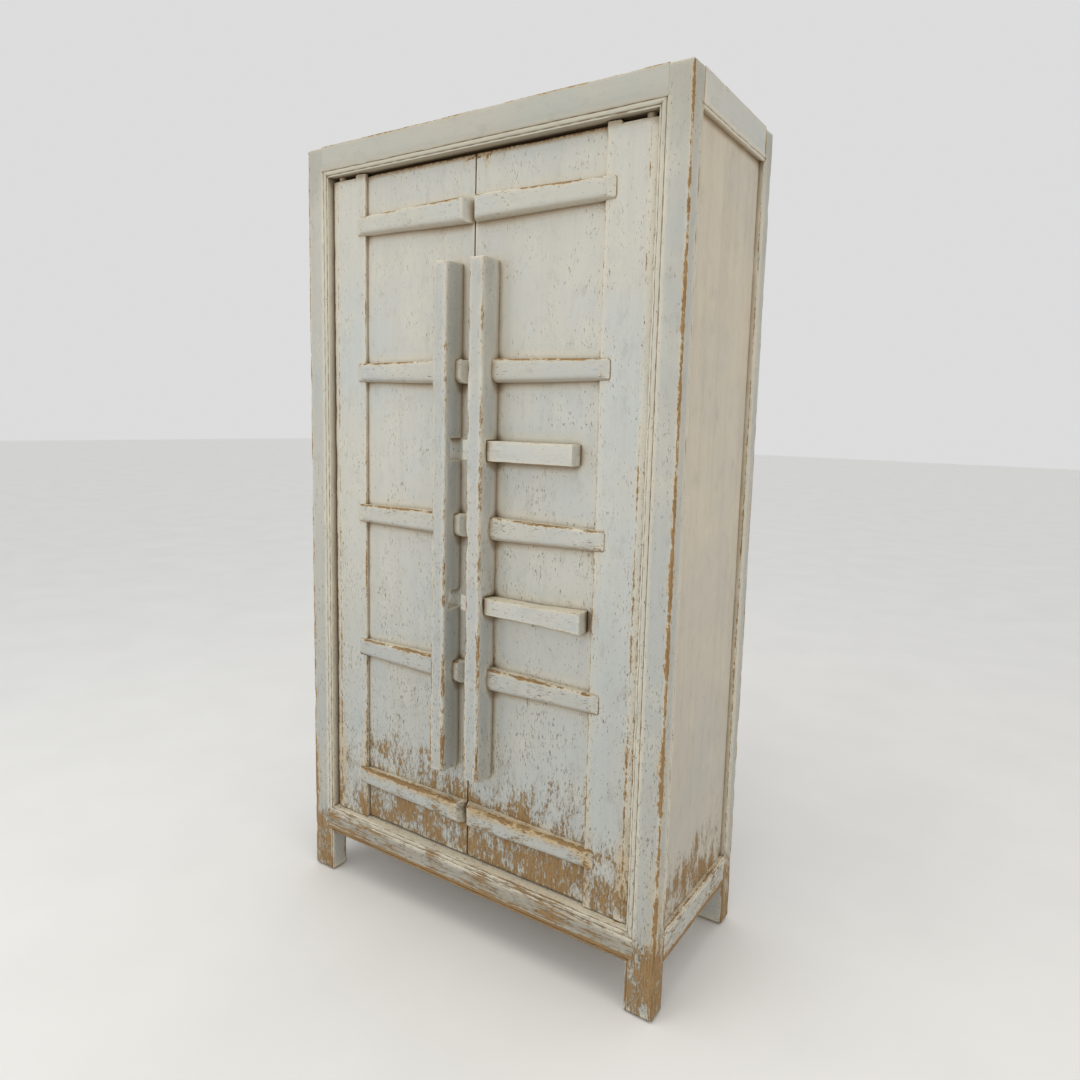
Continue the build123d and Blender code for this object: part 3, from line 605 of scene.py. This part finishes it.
    def _wood(self) -> Tint:
        """The wood where it is bare: ringed, dusty and pitted.

        Returns:
            Its colour.
        """
        paint, sheet = self.paint, self.sheet
        wood = sheet.blend(self.rings.rise(0.25, 0.70), paint.dark_wood, paint.wood)
        wood = sheet.blend(self.speckle.rise(0.45, 0.75) * 0.35, wood, paint.thin)
        return sheet.blend(self.fleck.rise(0.56, 0.66) * 0.5, wood, paint.nook)

    def _grime(self, colour: Tint) -> Tint:
        """Lays painted shade, tinted brown as by dirt, into the corners, a painted shadow under
        the overhangs, and dark lines of dirt and painted shade along the grooves and joints.

        Args:
            colour: The surface without it.

        Returns:
            The surface with it.
        """
        paint, sheet, air = self.paint, self.sheet, self.air
        # painted shade, tinted brown as by dirt, in the nooks; kept off faces turned up, which
        # stay lit
        shade = air.rise(0.70, 0.32) * (0.2 + paint.dirt * 0.6) * (1.0 - self.flat * 0.85)
        colour = sheet.blend(shade, colour, paint.glaze, "MULTIPLY")
        # painted shadow below battens, rails and other overhangs, and on faces turned down
        under = sheet.openness(self.OVERHANG, 0.7).rise(0.74, 0.44)
        under = under.larger(self.up.rise(-0.3, -0.8) * 0.6)
        under = under * (1.0 - self.flat) * (0.5 + paint.dirt * 0.5)
        colour = sheet.blend(under.clamp(), colour, paint.soot, "MULTIPLY")
        # dark lines: dirt in the grooves, and along the joints a line that is partly dirt and
        # partly painted shade
        line = self.groove.rise(*self.GROOVE_LINE) * (0.35 + self.ragged * 0.8)
        broken = 0.3 + self.length.rise(0.38, 0.60) * 0.7
        line = line.larger(air.rise(0.54, 0.38) * broken * paint.dirt).clamp()
        colour = sheet.blend(line, colour, paint.seam)
        # painted shade: near-black in the deepest nooks and on faces turned down into them
        beneath = self.up.rise(-0.1, -0.7) * air.rise(0.66, 0.46)
        deep = air.rise(0.38, 0.25).larger(beneath) * paint.dirt
        return sheet.blend(deep, colour, paint.nook)


@dataclass(frozen=True)
class BareTimber:
    """Old unpainted softwood, as inside the cupboard and at its back."""

    # noise: marks per metre, detail and roughness
    RINGS = (95.0, 8.0, 0.72)      # growth rings
    PORES = (900.0, 3.0, 0.60)
    PATCH = (5.0, 3.0, 0.60)       # dusty patches
    SCUFF = (90.0, 6.0, 0.75)
    PLANK = (1.7, 0.0)             # a tint for each board

    DARK_RIM = (4 * MILLIMETRE, 0.0)
    SEAM_LINE = (1.6 * MILLIMETRE, 0.6 * MILLIMETRE)
    RELIEF = 0.5 * MILLIMETRE

    name: str
    grain: Grain
    light: Colour = tone(158, 126, 86)
    dark: Colour = tone(108, 78, 48)
    dust: Colour = tone(146, 134, 114)
    seam: Colour = tone(46, 34, 22)

    def material(self) -> bpy.types.Material:
        """Mixes the finish.

        Returns:
            The material.
        """
        sheet = Sheet(self.name)
        board = sheet.stored("board")
        squeeze = self.grain.squeeze
        rings = sheet.cloud(sheet.stretched(squeeze(0.04), board), *self.RINGS)
        pores = sheet.cloud(sheet.stretched(squeeze(0.03), board), *self.PORES)
        patch = sheet.cloud(sheet.stretched(squeeze(0.5), board), *self.PATCH)
        scuff = sheet.cloud(sheet.stretched(squeeze(0.3), board), *self.SCUFF)
        plank = sheet.cloud(sheet.stretched((0.0, 0.0, 0.0), board), *self.PLANK)
        colour = sheet.blend(rings.rise(0.36, 0.60), self.dark, self.light)
        colour = sheet.blend(pores.rise(0.52, 0.70) * 0.45, colour, self.dark)
        colour = sheet.blend(plank.rise(0.36, 0.64) * 0.4, colour, self.dust)
        colour = sheet.blend(patch.rise(0.4, 0.75) * 0.4, colour, self.dust)
        colour = sheet.blend(scuff.rise(0.60, 0.68) * 0.3, colour, self.dust)
        rim = sheet.stored("arris").rise(*self.DARK_RIM)
        colour = sheet.blend(rim * 0.35, colour, self.dark)
        seam = sheet.stored("flank").rise(*self.SEAM_LINE) * 0.85
        colour = sheet.blend(seam, colour, self.seam)
        relief = rings * 0.4 + pores * 0.3 + (1.0 - seam) * 0.3
        sheet.surface(colour, 0.72 + patch * 0.12, relief, self.RELIEF)
        return sheet.material


Finish = Union[WornPaint, BareTimber]


class Finishes:
    """Every finish, mixed once."""

    def __init__(self) -> None:
        """Starts with nothing mixed."""
        self._mixed: dict[Finish, bpy.types.Material] = {}

    def __getitem__(self, finish: Finish) -> bpy.types.Material:
        """Looks up a finish.

        Args:
            finish: Any finish.

        Returns:
            Its material, mixed on first use.
        """
        if finish not in self._mixed:
            self._mixed[finish] = finish.material()
        return self._mixed[finish]


# ---------------------------------------------------------------- timber


class Neighbours:
    """The frame's solids, asked where one of them touches another of its body."""

    CONTACT = 0.6 * MILLIMETRE

    def __init__(self, nodes: Mapping[str, bpy.types.Object]) -> None:
        """Keeps every solid of the frame ready to be searched.

        Args:
            nodes: The solids by name.
        """
        self._trees: dict[str, BVHTree] = {}
        self._bodies = {name: node["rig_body"] for name, node in nodes.items()}
        for name, node in nodes.items():
            points = [corner.co for corner in node.data.vertices]
            faces = [face.vertices[:] for face in node.data.polygons]
            self._trees[name] = BVHTree.FromPolygons(points, faces)

    def near(self, name: str) -> list[BVHTree]:
        """The solids of the same body whose boxes come up to the named one's.

        Args:
            name: A solid.

        Returns:
            The search trees of its neighbours.
        """
        low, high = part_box(name)
        found = []
        for other, body in self._bodies.items():
            other_low, other_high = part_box(other)
            apart = any(other_low[axis] > high[axis] + self.CONTACT
                        or low[axis] > other_high[axis] + self.CONTACT for axis in range(3))
            if other != name and body == self._bodies[name] and not apart:
                found.append(self._trees[other])
        return found

    def touched(self, point: Vector, trees: Iterable[BVHTree]) -> bool:
        """Whether a point lies on a joint with one of those solids."""
        return any(tree.find_nearest(point, self.CONTACT)[0] is not None for tree in trees)


@dataclass(frozen=True)
class Ridge:
    """A point on an edge, as found from somewhere near it."""

    distance: float = 1.0
    place: Vector | None = None
    along: float = 0.0      # 1 where the edge runs with the grain, 0 where it runs across


class Ridges:
    """Points along some edges, for measuring how far away the nearest runs."""

    STEP = 3 * MILLIMETRE

    def __init__(self, edges: Iterable[bmesh.types.BMEdge], grain: Grain) -> None:
        """Marks points along some edges.

        Args:
            edges: The edges of one board.
            grain: Its grain.
        """
        points = []
        self._along = []
        for edge in edges:
            start, end = (corner.co for corner in edge.verts)
            run = end - start
            count = max(1, math.ceil(run.length / self.STEP))
            points += [start.lerp(end, number / count) for number in range(count + 1)]
            self._along += [abs(run.normalized()[grain.axis])] * (count + 1)
        self._tree = kdtree.KDTree(len(points))
        for number, point in enumerate(points):
            self._tree.insert(point, number)
        self._tree.balance()

    def nearest(self, point: Vector) -> Ridge:
        """The nearest marked point.

        Args:
            point: Where to measure from.

        Returns:
            What was found, far away if nothing was.
        """
        place, number, distance = self._tree.find(point)
        return Ridge() if place is None else Ridge(distance, place, self._along[number])


@dataclass(frozen=True)
class Weathering:
    """How age has softened a board; all sizes in metres."""

    softness: float = 1.2 * MILLIMETRE     # rounding of the arrises
    sweep: float = 0.5 * MILLIMETRE        # slow unevenness of the faces
    chip: float = 1.4 * MILLIMETRE         # depth of knocks along the arrises
    pitch: float = 14 * MILLIMETRE         # spacing of the cuts along the grain
    across: float = 32 * MILLIMETRE        # and across it
    wave: float = 5.0                      # waves of the unevenness per metre


class Timber:
    """One wooden piece: the frame's solid, softened, chipped and dressed."""

    MERGED = 0.01 * MILLIMETRE       # points closer than this are one
    FLAT = math.radians(0.6)         # faces that bend less are one
    SHARP = math.radians(28)         # what makes an edge an arris
    BLUNT = math.radians(4)          # least bend of a tight rounding
    TIGHT_ROUND = 6 * MILLIMETRE     # and its widest radius
    CREASE = math.radians(6)         # least bend between two broad faces
    BROAD = 12 * MILLIMETRE
    ROOM = 4                         # face width that rounding an arris takes, in softnesses
    NEAR_EDGE = 8 * MILLIMETRE       # how far knocks reach in from an arris
    NEAR_GROOVE = 6 * MILLIMETRE     # arrises nearer to a groove are hardly rubbed
    RUB_RISE = 3 * MILLIMETRE        # and fully rubbed this much farther out
    NEAR_CUTS = (5 * MILLIMETRE, 12 * MILLIMETRE)
    CUT_SLACK = 0.02 * MILLIMETRE
    INNER_RUB = 0.04                 # rub of the arrises in a moulding
    END_RUB = 0.08                   # rub of the arrises across the grain
    HOLLOW = 80 * MILLIMETRE         # widest mortise or groove
    LIFT = 0.1 * MILLIMETRE
    KNOCK_WAVE = 24.0                # knocks per metre
    KNOCK_START = 0.05
    KNOCK_DEPTH = 2.2

    def __init__(self, node: bpy.types.Object, grain: Grain, weathering: Weathering,
                 neighbours: Neighbours) -> None:
        """Takes one of the frame's solids.

        Args:
            node: The solid.
            grain: Which way it grew.
            weathering: How it has aged.
            neighbours: The solids round it.
        """
        self.node = node
        self.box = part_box(node.name)
        self.neighbours = neighbours
        self.near = neighbours.near(node.name)
        self.grain = grain
        self.weathering = weathering
        self.seed = random.Random(node.name).uniform(0.0, 40.0)

    def dress(self, material: bpy.types.Material) -> bpy.types.Object:
        """Builds the worn piece in place of the plain solid.

        Args:
            material: Its finish.

        Returns:
            The new piece, which rides on the solid's body.
        """
        shape = self._clean_solid()
        arrises = Ridges(filter(self._is_arris, shape.edges), self.grain)
        grooves = Ridges(filter(self._is_groove, shape.edges), self.grain)
        self._soften(shape)
        self._cut(shape)
        mesh = bpy.data.meshes.new(f"{self.node.name}_worn")
        shape.normal_update()
        shape.verts.index_update()
        found = [arrises.nearest(point.co) for point in shape.verts]
        stored = {"arris": [ridge.distance for ridge in found],
                  "rub": [self._rub(ridge, grooves) for ridge in found],
                  "groove": [grooves.nearest(point.co).distance for point in shape.verts],
                  "flank": [self._flank(point.co) for point in shape.verts],
                  "board": [self.seed] * len(found)}
        self._wear(shape, stored["arris"])
        shape.to_mesh(mesh)
        shape.free()
        for name, numbers in stored.items():
            mesh.attributes.new(name, "FLOAT", "POINT").data.foreach_set("value", numbers)
        mesh.shade_smooth()
        mesh.set_sharp_from_angle(angle=self.SHARP)
        mesh.materials.append(material)
        piece = bpy.data.objects.new(mesh.name, mesh)
        bpy.context.scene.collection.objects.link(piece)
        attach(piece, self.node["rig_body"])
        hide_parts(self.node.name)
        return piece

    def _clean_solid(self) -> bmesh.types.BMesh:
        """Copies the solid and makes its flat faces whole again.

        Returns:
            The copy.
        """
        shape = bmesh.new()
        shape.from_mesh(self.node.data)
        bmesh.ops.remove_doubles(shape, verts=shape.verts, dist=self.MERGED)
        bmesh.ops.dissolve_limit(shape, angle_limit=self.FLAT, verts=shape.verts,
                                 edges=shape.edges)
        shape.normal_update()
        return shape

    def _is_arris(self, edge: bmesh.types.BMEdge) -> bool:
        """Whether an outer corner runs there in the open.

        Args:
            edge: An edge of the clean or the cut solid.

        Returns:
            True where it is sharp, tightly rounded or creased, and touches no neighbour.
        """
        if len(edge.link_faces) != 2 or not edge.is_convex:
            return False
        angle = edge.calc_face_angle(0.0)
        if angle < self.SHARP:
            width = min(face.calc_area() for face in edge.link_faces) / edge.calc_length()
            tight = angle > self.BLUNT and width < self.TIGHT_ROUND * angle
            crease = angle > self.CREASE and width > self.BROAD < edge.calc_length()
            if not tight and not crease:
                return False
        start, end = (corner.co for corner in edge.verts)
        return not self.neighbours.touched(start.lerp(end, 0.5), self.near)

    def _is_groove(self, edge: bmesh.types.BMEdge) -> bool:
        """Whether two faces meet there at an inner corner."""
        return (len(edge.link_faces) == 2 and not edge.is_convex
                and edge.calc_face_angle(0.0) > self.SHARP)

    def _rub(self, ridge: Ridge, grooves: Ridges) -> float:
        """How hard an arris is rubbed: less in the mouldings and across the ends.

        Args:
            ridge: The arris at its nearest point.
            grooves: The inner corners.

        Returns:
            1 where it is open to wear, towards 0 where it is not.
        """
        if ridge.place is None:
            return 0.0
        groove = grooves.nearest(ridge.place).distance
        clear = (groove - self.NEAR_GROOVE) / self.RUB_RISE
        share = self.END_RUB + (1.0 - self.END_RUB) * ridge.along ** 4
        return max(self.INNER_RUB, min(1.0, clear)) * share

    def _flank(self, point: Vector) -> float:
        """Measures in from the sides of a board.

        Args:
            point: Where to measure from.

        Returns:
            How far the nearer of its two long sides is.
        """
        spans = [high - low for low, high in zip(*self.box)]
        spans[self.grain.axis] = 0.0
        wide = spans.index(max(spans))
        return min(point[wide] - self.box[0][wide], self.box[1][wide] - point[wide])

    def _soften(self, shape: bmesh.types.BMesh) -> None:
        """Rounds the outer corners that have room for it.

        Args:
            shape: The clean solid, changed in place.
        """
        room = self.ROOM * self.weathering.softness
        arrises = [edge for edge in shape.edges if self._is_arris(edge)
                   and edge.calc_face_angle(0.0) > self.SHARP
                   and min(face.calc_area() for face in edge.link_faces)
                   > room * edge.calc_length()]
        bmesh.ops.bevel(shape, geom=arrises, offset=self.weathering.softness, segments=2,
                        profile=0.5, affect="EDGES", clamp_overlap=False)

    def _cut(self, shape: bmesh.types.BMesh) -> None:
        """Cuts the faces into strips, closer together near the piece's ends and edges.

        Args:
            shape: The softened solid, changed in place.
        """
        for axis in range(3):
            pitch = self.weathering.pitch if axis == self.grain.axis else self.weathering.across
            normal = Vector((0, 0, 0))
            normal[axis] = 1.0
            for level in self._levels(self.box[0][axis], self.box[1][axis], pitch):
                everything = [*shape.verts, *shape.edges, *shape.faces]
                bmesh.ops.bisect_plane(shape, geom=everything, dist=self.CUT_SLACK,
                                       plane_co=normal * level, plane_no=normal)

    def _levels(self, low: float, high: float, pitch: float) -> list[float]:
        """Where the cuts across one axis lie.

        Args:
            low: Where the piece starts.
            high: Where it ends.
            pitch: The widest strip wanted.

        Returns:
            The places of the cuts.
        """
        levels = []
        for inset in self.NEAR_CUTS:
            if high - low > 3 * inset:
                levels += [low + inset, high - inset]
        start, end = low + max(self.NEAR_CUTS), high - max(self.NEAR_CUTS)
        count = math.ceil((end - start) / pitch)
        return levels + [start + (end - start) * number / count for number in range(1, count)]

    def _wear(self, shape: bmesh.types.BMesh, distances: list[float]) -> None:
        """Moves the points: slow unevenness everywhere, knocks along the outer corners.

        Args:
            shape: The cut solid.
            distances: Each point's distance to the nearest outer corner.
        """
        shift = Vector((self.seed, 0.0, 0.0))
        weathering = self.weathering
        kept = self._hollow_points(shape)
        moves = []
        for point, distance in zip(shape.verts, distances):
            if point.index in kept:
                moves.append(Vector())
                continue
            near = max(0.0, 1.0 - distance / self.NEAR_EDGE)
            knock = noise.noise(point.co * self.KNOCK_WAVE + shift) - self.KNOCK_START
            knock = max(0.0, knock) * near * near * self.KNOCK_DEPTH * weathering.chip
            slow = noise.noise(point.co * weathering.wave + shift) * weathering.sweep
            moves.append(point.normal * (slow - knock))
        for point, move in zip(shape.verts, moves):
            point.co += move

    def _hollow_points(self, shape: bmesh.types.BMesh) -> set[int]:
        """Finds the walls of mortises and grooves, which keep their clearance.

        Args:
            shape: The cut solid.

        Returns:
            Numbers of the points round those walls.
        """
        tree = BVHTree.FromBMesh(shape)
        kept = set()
        for face in shape.faces:
            start = face.calc_center_median() + face.normal * self.LIFT
            if tree.ray_cast(start, face.normal, self.HOLLOW)[0] is not None:
                kept.update(point.index for point in face.verts)
        return kept


# ---------------------------------------------------------------- sub-assemblies


@dataclass
class SubAssembly:
    """Some of the frame's solids that are dressed together."""

    nodes: Mapping[str, bpy.types.Object]
    finishes: Finishes
    neighbours: Neighbours

    def _dress(self, names: Iterable[str], finish: Finish, weathering: Weathering,
               slot: str) -> None:
        """Dresses some solids alike.

        Args:
            names: The solids.
            finish: Their finish, which also says how the grain runs.
            weathering: How they have aged.
            slot: The record's material slot, which is not used.
        """
        for name in names:
            timber = Timber(self.nodes[name], finish.grain, weathering, self.neighbours)
            piece = timber.dress(self.finishes[finish])
            log.info("%s: %d faces", piece.name, len(piece.data.polygons))

    @staticmethod
    def _pair(name: str) -> tuple[str, str]:
        """The names of a piece and its twin."""
        return (f"{name}_left", f"{name}_right")


@dataclass
class Carcase(SubAssembly):
    """Posts, rails and side panels, all painted."""

    post_wear: Weathering = Weathering(chip=2.0 * MILLIMETRE)
    rail_wear: Weathering = Weathering()
    post_paint: WornPaint = WornPaint(
        "post_paint", Grain.UP, arris_reach=4.6 * MILLIMETRE, arris_bare=0.75, dirt=0.1,
        crown=0.45, low_flake=0.34, low_from=0.40, low_to=0.06, fleck_hold=0.585,
        body=tone(186, 184, 175), cool=tone(180, 182, 177))
    head_paint: WornPaint = WornPaint(
        "head_rail_paint", Grain.ACROSS, arris_reach=4.6 * MILLIMETRE, arris_bare=0.9, dirt=0.5,
        crown=0.45, fleck_hold=0.63)
    rail_paint: WornPaint = WornPaint(
        "front_rail_paint", Grain.ACROSS, low_flake=0.27, hem=0.127, flake_size=8 * MILLIMETRE,
        flake_stretch=0.08, dirt=0.1, arris_bare=0.7,
        body=tone(161, 151, 132), cool=tone(165, 159, 145))
    side_rail_paint: WornPaint = WornPaint(
        "side_rail_paint", Grain.BACK, low_flake=0.20, hem=0.124, flake_size=12 * MILLIMETRE,
        dirt=0.4)
    panel_paint: WornPaint = WornPaint(
        "side_panel_paint", Grain.UP, low_flake=0.29, fleck_hold=0.67, banding=0.1, dirt=0.4,
        body=tone(205, 195, 176), cool=tone(197, 190, 176))

    def build(self) -> None:
        """Dresses every fixed piece that is painted."""
        posts = (*self._pair("front_post"), *self._pair("back_post"))
        self._dress(posts, self.post_paint, self.post_wear, "frame_paint")
        self._dress(("head_rail",), self.head_paint, self.rail_wear, "frame_paint")
        rails = ("sill_rail", "back_rail_top", "back_rail_middle", "back_rail_bottom")
        self._dress(rails, self.rail_paint, self.rail_wear, "frame_paint")
        side_rails = (*self._pair("side_rail_top"), *self._pair("side_rail_bottom"))
        self._dress(side_rails, self.side_rail_paint, self.rail_wear, "frame_paint")
        self._dress(self._pair("side_panel"), self.panel_paint, self.rail_wear,
                    "side_panel_paint")


@dataclass
class Inside(SubAssembly):
    """Shelves, boards, bearers and battens of bare wood."""

    wear: Weathering = Weathering(chip=0.8 * MILLIMETRE, pitch=40 * MILLIMETRE)
    up: BareTimber = BareTimber("bare_wood_up", Grain.UP)
    across: BareTimber = BareTimber("bare_wood_across", Grain.ACROSS)
    back: BareTimber = BareTimber("bare_wood_back", Grain.BACK)

    def build(self) -> None:
        """Dresses the shelves, the bearers and the boards."""
        rest = [name for name, node in self.nodes.items() if node["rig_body"] == "cabinet"]
        upright = [name for name in rest if name.startswith("back_board")]
        deep = [name for name in rest if name.startswith("shelf_bearer")]
        deep += ["top_batten", "floor_batten"]
        wide = [name for name in rest if name.startswith("shelf_") and name not in deep]
        wide += [name for name in rest if name.startswith(("top_board", "floor_board"))]
        wide += ["door_stop_top", "door_stop_bottom"]
        self._dress(upright, self.up, self.wear, "inner_wood")
        self._dress(deep, self.back, self.wear, "inner_wood")
        self._dress(wide, self.across, self.wear, "inner_wood")


@dataclass
class Doors(SubAssembly):
    """Both doors with their battens, handle posts and bolts."""

    batten_count: int = 5
    board_wear: Weathering = Weathering()
    batten_wear: Weathering = Weathering(
        softness=1.6 * MILLIMETRE, sweep=1.3 * MILLIMETRE, chip=1.8 * MILLIMETRE, wave=9.0)
    handle_wear: Weathering = Weathering(
        softness=2.2 * MILLIMETRE, sweep=1.6 * MILLIMETRE, chip=3.0 * MILLIMETRE, wave=7.0)
    bolt_wear: Weathering = Weathering(sweep=0.2 * MILLIMETRE, chip=0.8 * MILLIMETRE)
    stile_paint: WornPaint = WornPaint(
        "door_stile_paint", Grain.UP, arris_reach=2.6 * MILLIMETRE, arris_bare=0.8, dirt=0.2,
        fleck_hold=0.575, halo=0.5)
    panel_paint: WornPaint = WornPaint(
        "door_panel_paint", Grain.UP, arris_reach=3.6 * MILLIMETRE, top_rub=10.0, dirt=0.6,
        low_flake=0.33, low_from=0.64, low_to=0.26, fleck_hold=0.57)
    batten_paint: WornPaint = WornPaint(
        "batten_paint", Grain.ACROSS, arris_reach=3.8 * MILLIMETRE, arris_bare=0.6, dirt=0.4,
        low_flake=0.24, fleck_hold=0.565, stain=0.9, stain_reach=22 * MILLIMETRE,
        body=tone(193, 191, 181), cool=tone(187, 189, 185))
    bolt_paint: WornPaint = WornPaint(
        "bolt_paint", Grain.ACROSS, arris_reach=1.2 * MILLIMETRE, low_flake=0.0)
    handle_paint: WornPaint = WornPaint(
        "handle_post_paint", Grain.UP, arris_reach=2.1 * MILLIMETRE, arris_bare=0.6, dirt=0.3,
        low_flake=0.08, fleck_hold=0.57, halo=0.45,
        body=tone(187, 187, 181), cool=tone(181, 184, 182))

    def build(self) -> None:
        """Dresses both doors and the bolts."""
        self._dress(self._pair("door_stile"), self.stile_paint, self.board_wear, "door_paint")
        self._dress(self._pair("door_panel"), self.panel_paint, self.board_wear, "door_paint")
        for number in range(1, self.batten_count + 1):
            self._dress(self._pair(f"door_batten_{number}"), self.batten_paint,
                        self.batten_wear, "door_paint")
        self._dress(self._pair("handle_post"), self.handle_paint, self.handle_wear, "door_paint")
        self._dress(("bolt_upper", "bolt_lower"), self.bolt_paint, self.bolt_wear, "bolt_paint")


# ---------------------------------------------------------------- studio


@dataclass(frozen=True)
class Lamp:
    """A soft rectangular light."""

    name: str
    place: tuple[float, float, float]
    aim: tuple[float, float, float]
    width: float
    power: float
    colour: tuple[float, float, float] = (1.0, 1.0, 1.0)

    def hang(self) -> None:
        """Adds the light, pointed at its aim."""
        light = bpy.data.lights.new(self.name, "AREA")
        light.shape = "SQUARE"
        light.size = self.width
        light.energy = self.power
        light.color = self.colour
        lamp = bpy.data.objects.new(self.name, light)
        lamp.location = self.place
        direction = Vector(self.aim) - Vector(self.place)
        lamp.rotation_euler = direction.to_track_quat("-Z", "Y").to_euler()
        bpy.context.scene.collection.objects.link(lamp)


@dataclass
class Studio:
    """A pale floor, soft light and the camera."""

    picture_side: float = 1080.0           # pixels
    focal_length: float = 783.84           # pixels
    centre: tuple[float, float] = (544.36, 518.66)   # where the lens looks
    camera_place: tuple[float, float, float] = (1.1269, -1.5874, 1.2508)
    turned_left: float = math.radians(33.32)
    tipped_down: float = math.radians(7.27)
    roll: float = math.radians(1.437)
    sensor: float = 36.0
    floor_reach: float = 30.0
    sky: Colour = (1.0, 1.0, 1.0, 1.0)
    sky_strength: float = 0.72
    lamps: tuple[Lamp, ...] = field(default_factory=lambda: (
        Lamp("overhead", (0.2, -1.0, 3.9), (0.05, -0.2, 1.0), 1.6, 24.0, (1.0, 0.94, 0.83)),
        Lamp("window", (-1.6, -3.2, 1.5), (0.0, -0.2, 0.9), 2.2, 20.0, (0.93, 0.97, 1.0)),
        Lamp("bounce", (0.3, -2.2, 0.35), (0.0, -0.2, 1.8), 2.0, 5.0, (1.0, 0.97, 0.92)),
        Lamp("room", (3.1, -0.5, 1.3), (0.4, 0.1, 0.8), 2.4, 8.6, (1.0, 0.85, 0.68))))

    def build(self) -> None:
        """Sets up the floor, the light and the camera."""
        self._lay_floor()
        for lamp in self.lamps:
            lamp.hang()
        self._light_room()
        self._stand_camera()
        log.info("studio ready")

    def _lay_floor(self) -> None:
        """Lays a wide pale floor at the cupboard's feet."""
        shape = bmesh.new()
        bmesh.ops.create_grid(shape, x_segments=1, y_segments=1, size=self.floor_reach)
        mesh = bpy.data.meshes.new("floor")
        shape.to_mesh(mesh)
        shape.free()
        sheet = Sheet("floor_paint")
        mottle = sheet.cloud(sheet.place, 3.0, 3.0)
        colour = sheet.ramp(mottle, (0.3, tone(240, 240, 238)), (0.7, tone(244, 244, 242)))
        sheet.surface(colour, 0.8, mottle, 0.1 * MILLIMETRE)
        mesh.materials.append(sheet.material)
        floor = bpy.data.objects.new("floor", mesh)
        bpy.context.scene.collection.objects.link(floor)

    def _light_room(self) -> None:
        """Fills the room with even pale light."""
        world = bpy.data.worlds.new("room")
        world.use_nodes = True
        background = world.node_tree.nodes["Background"]
        background.inputs["Color"].default_value = self.sky
        background.inputs["Strength"].default_value = self.sky_strength
        bpy.context.scene.world = world
        bpy.context.scene.view_settings.view_transform = "Standard"

    def _stand_camera(self) -> None:
        """Stands the camera to the right of the doors, a little above their middle."""
        lens = bpy.data.cameras.new("camera")
        lens.sensor_width = self.sensor
        lens.lens = self.focal_length / self.picture_side * self.sensor
        half = self.picture_side / 2
        lens.shift_x = (half - self.centre[0]) / self.picture_side
        lens.shift_y = (self.centre[1] - half) / self.picture_side
        camera = bpy.data.objects.new("camera", lens)
        turn = (Matrix.Rotation(self.turned_left, 4, "Z")
                @ Matrix.Rotation(math.pi / 2 - self.tipped_down, 4, "X")
                @ Matrix.Rotation(self.roll, 4, "Z"))
        camera.matrix_world = Matrix.Translation(self.camera_place) @ turn
        bpy.context.scene.collection.objects.link(camera)
        bpy.context.scene.camera = camera


def main() -> None:
    """Loads the frame and dresses it, sub-assembly by sub-assembly."""
    logging.basicConfig(level=logging.INFO, format="%(name)s: %(message)s")
    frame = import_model()
    nodes = frame["nodes"]
    finishes = Finishes()
    neighbours = Neighbours(nodes)
    for part in (Carcase, Inside, Doors):
        part(nodes, finishes, neighbours).build()
    Studio().build()


if __name__ == "__main__":
    main()
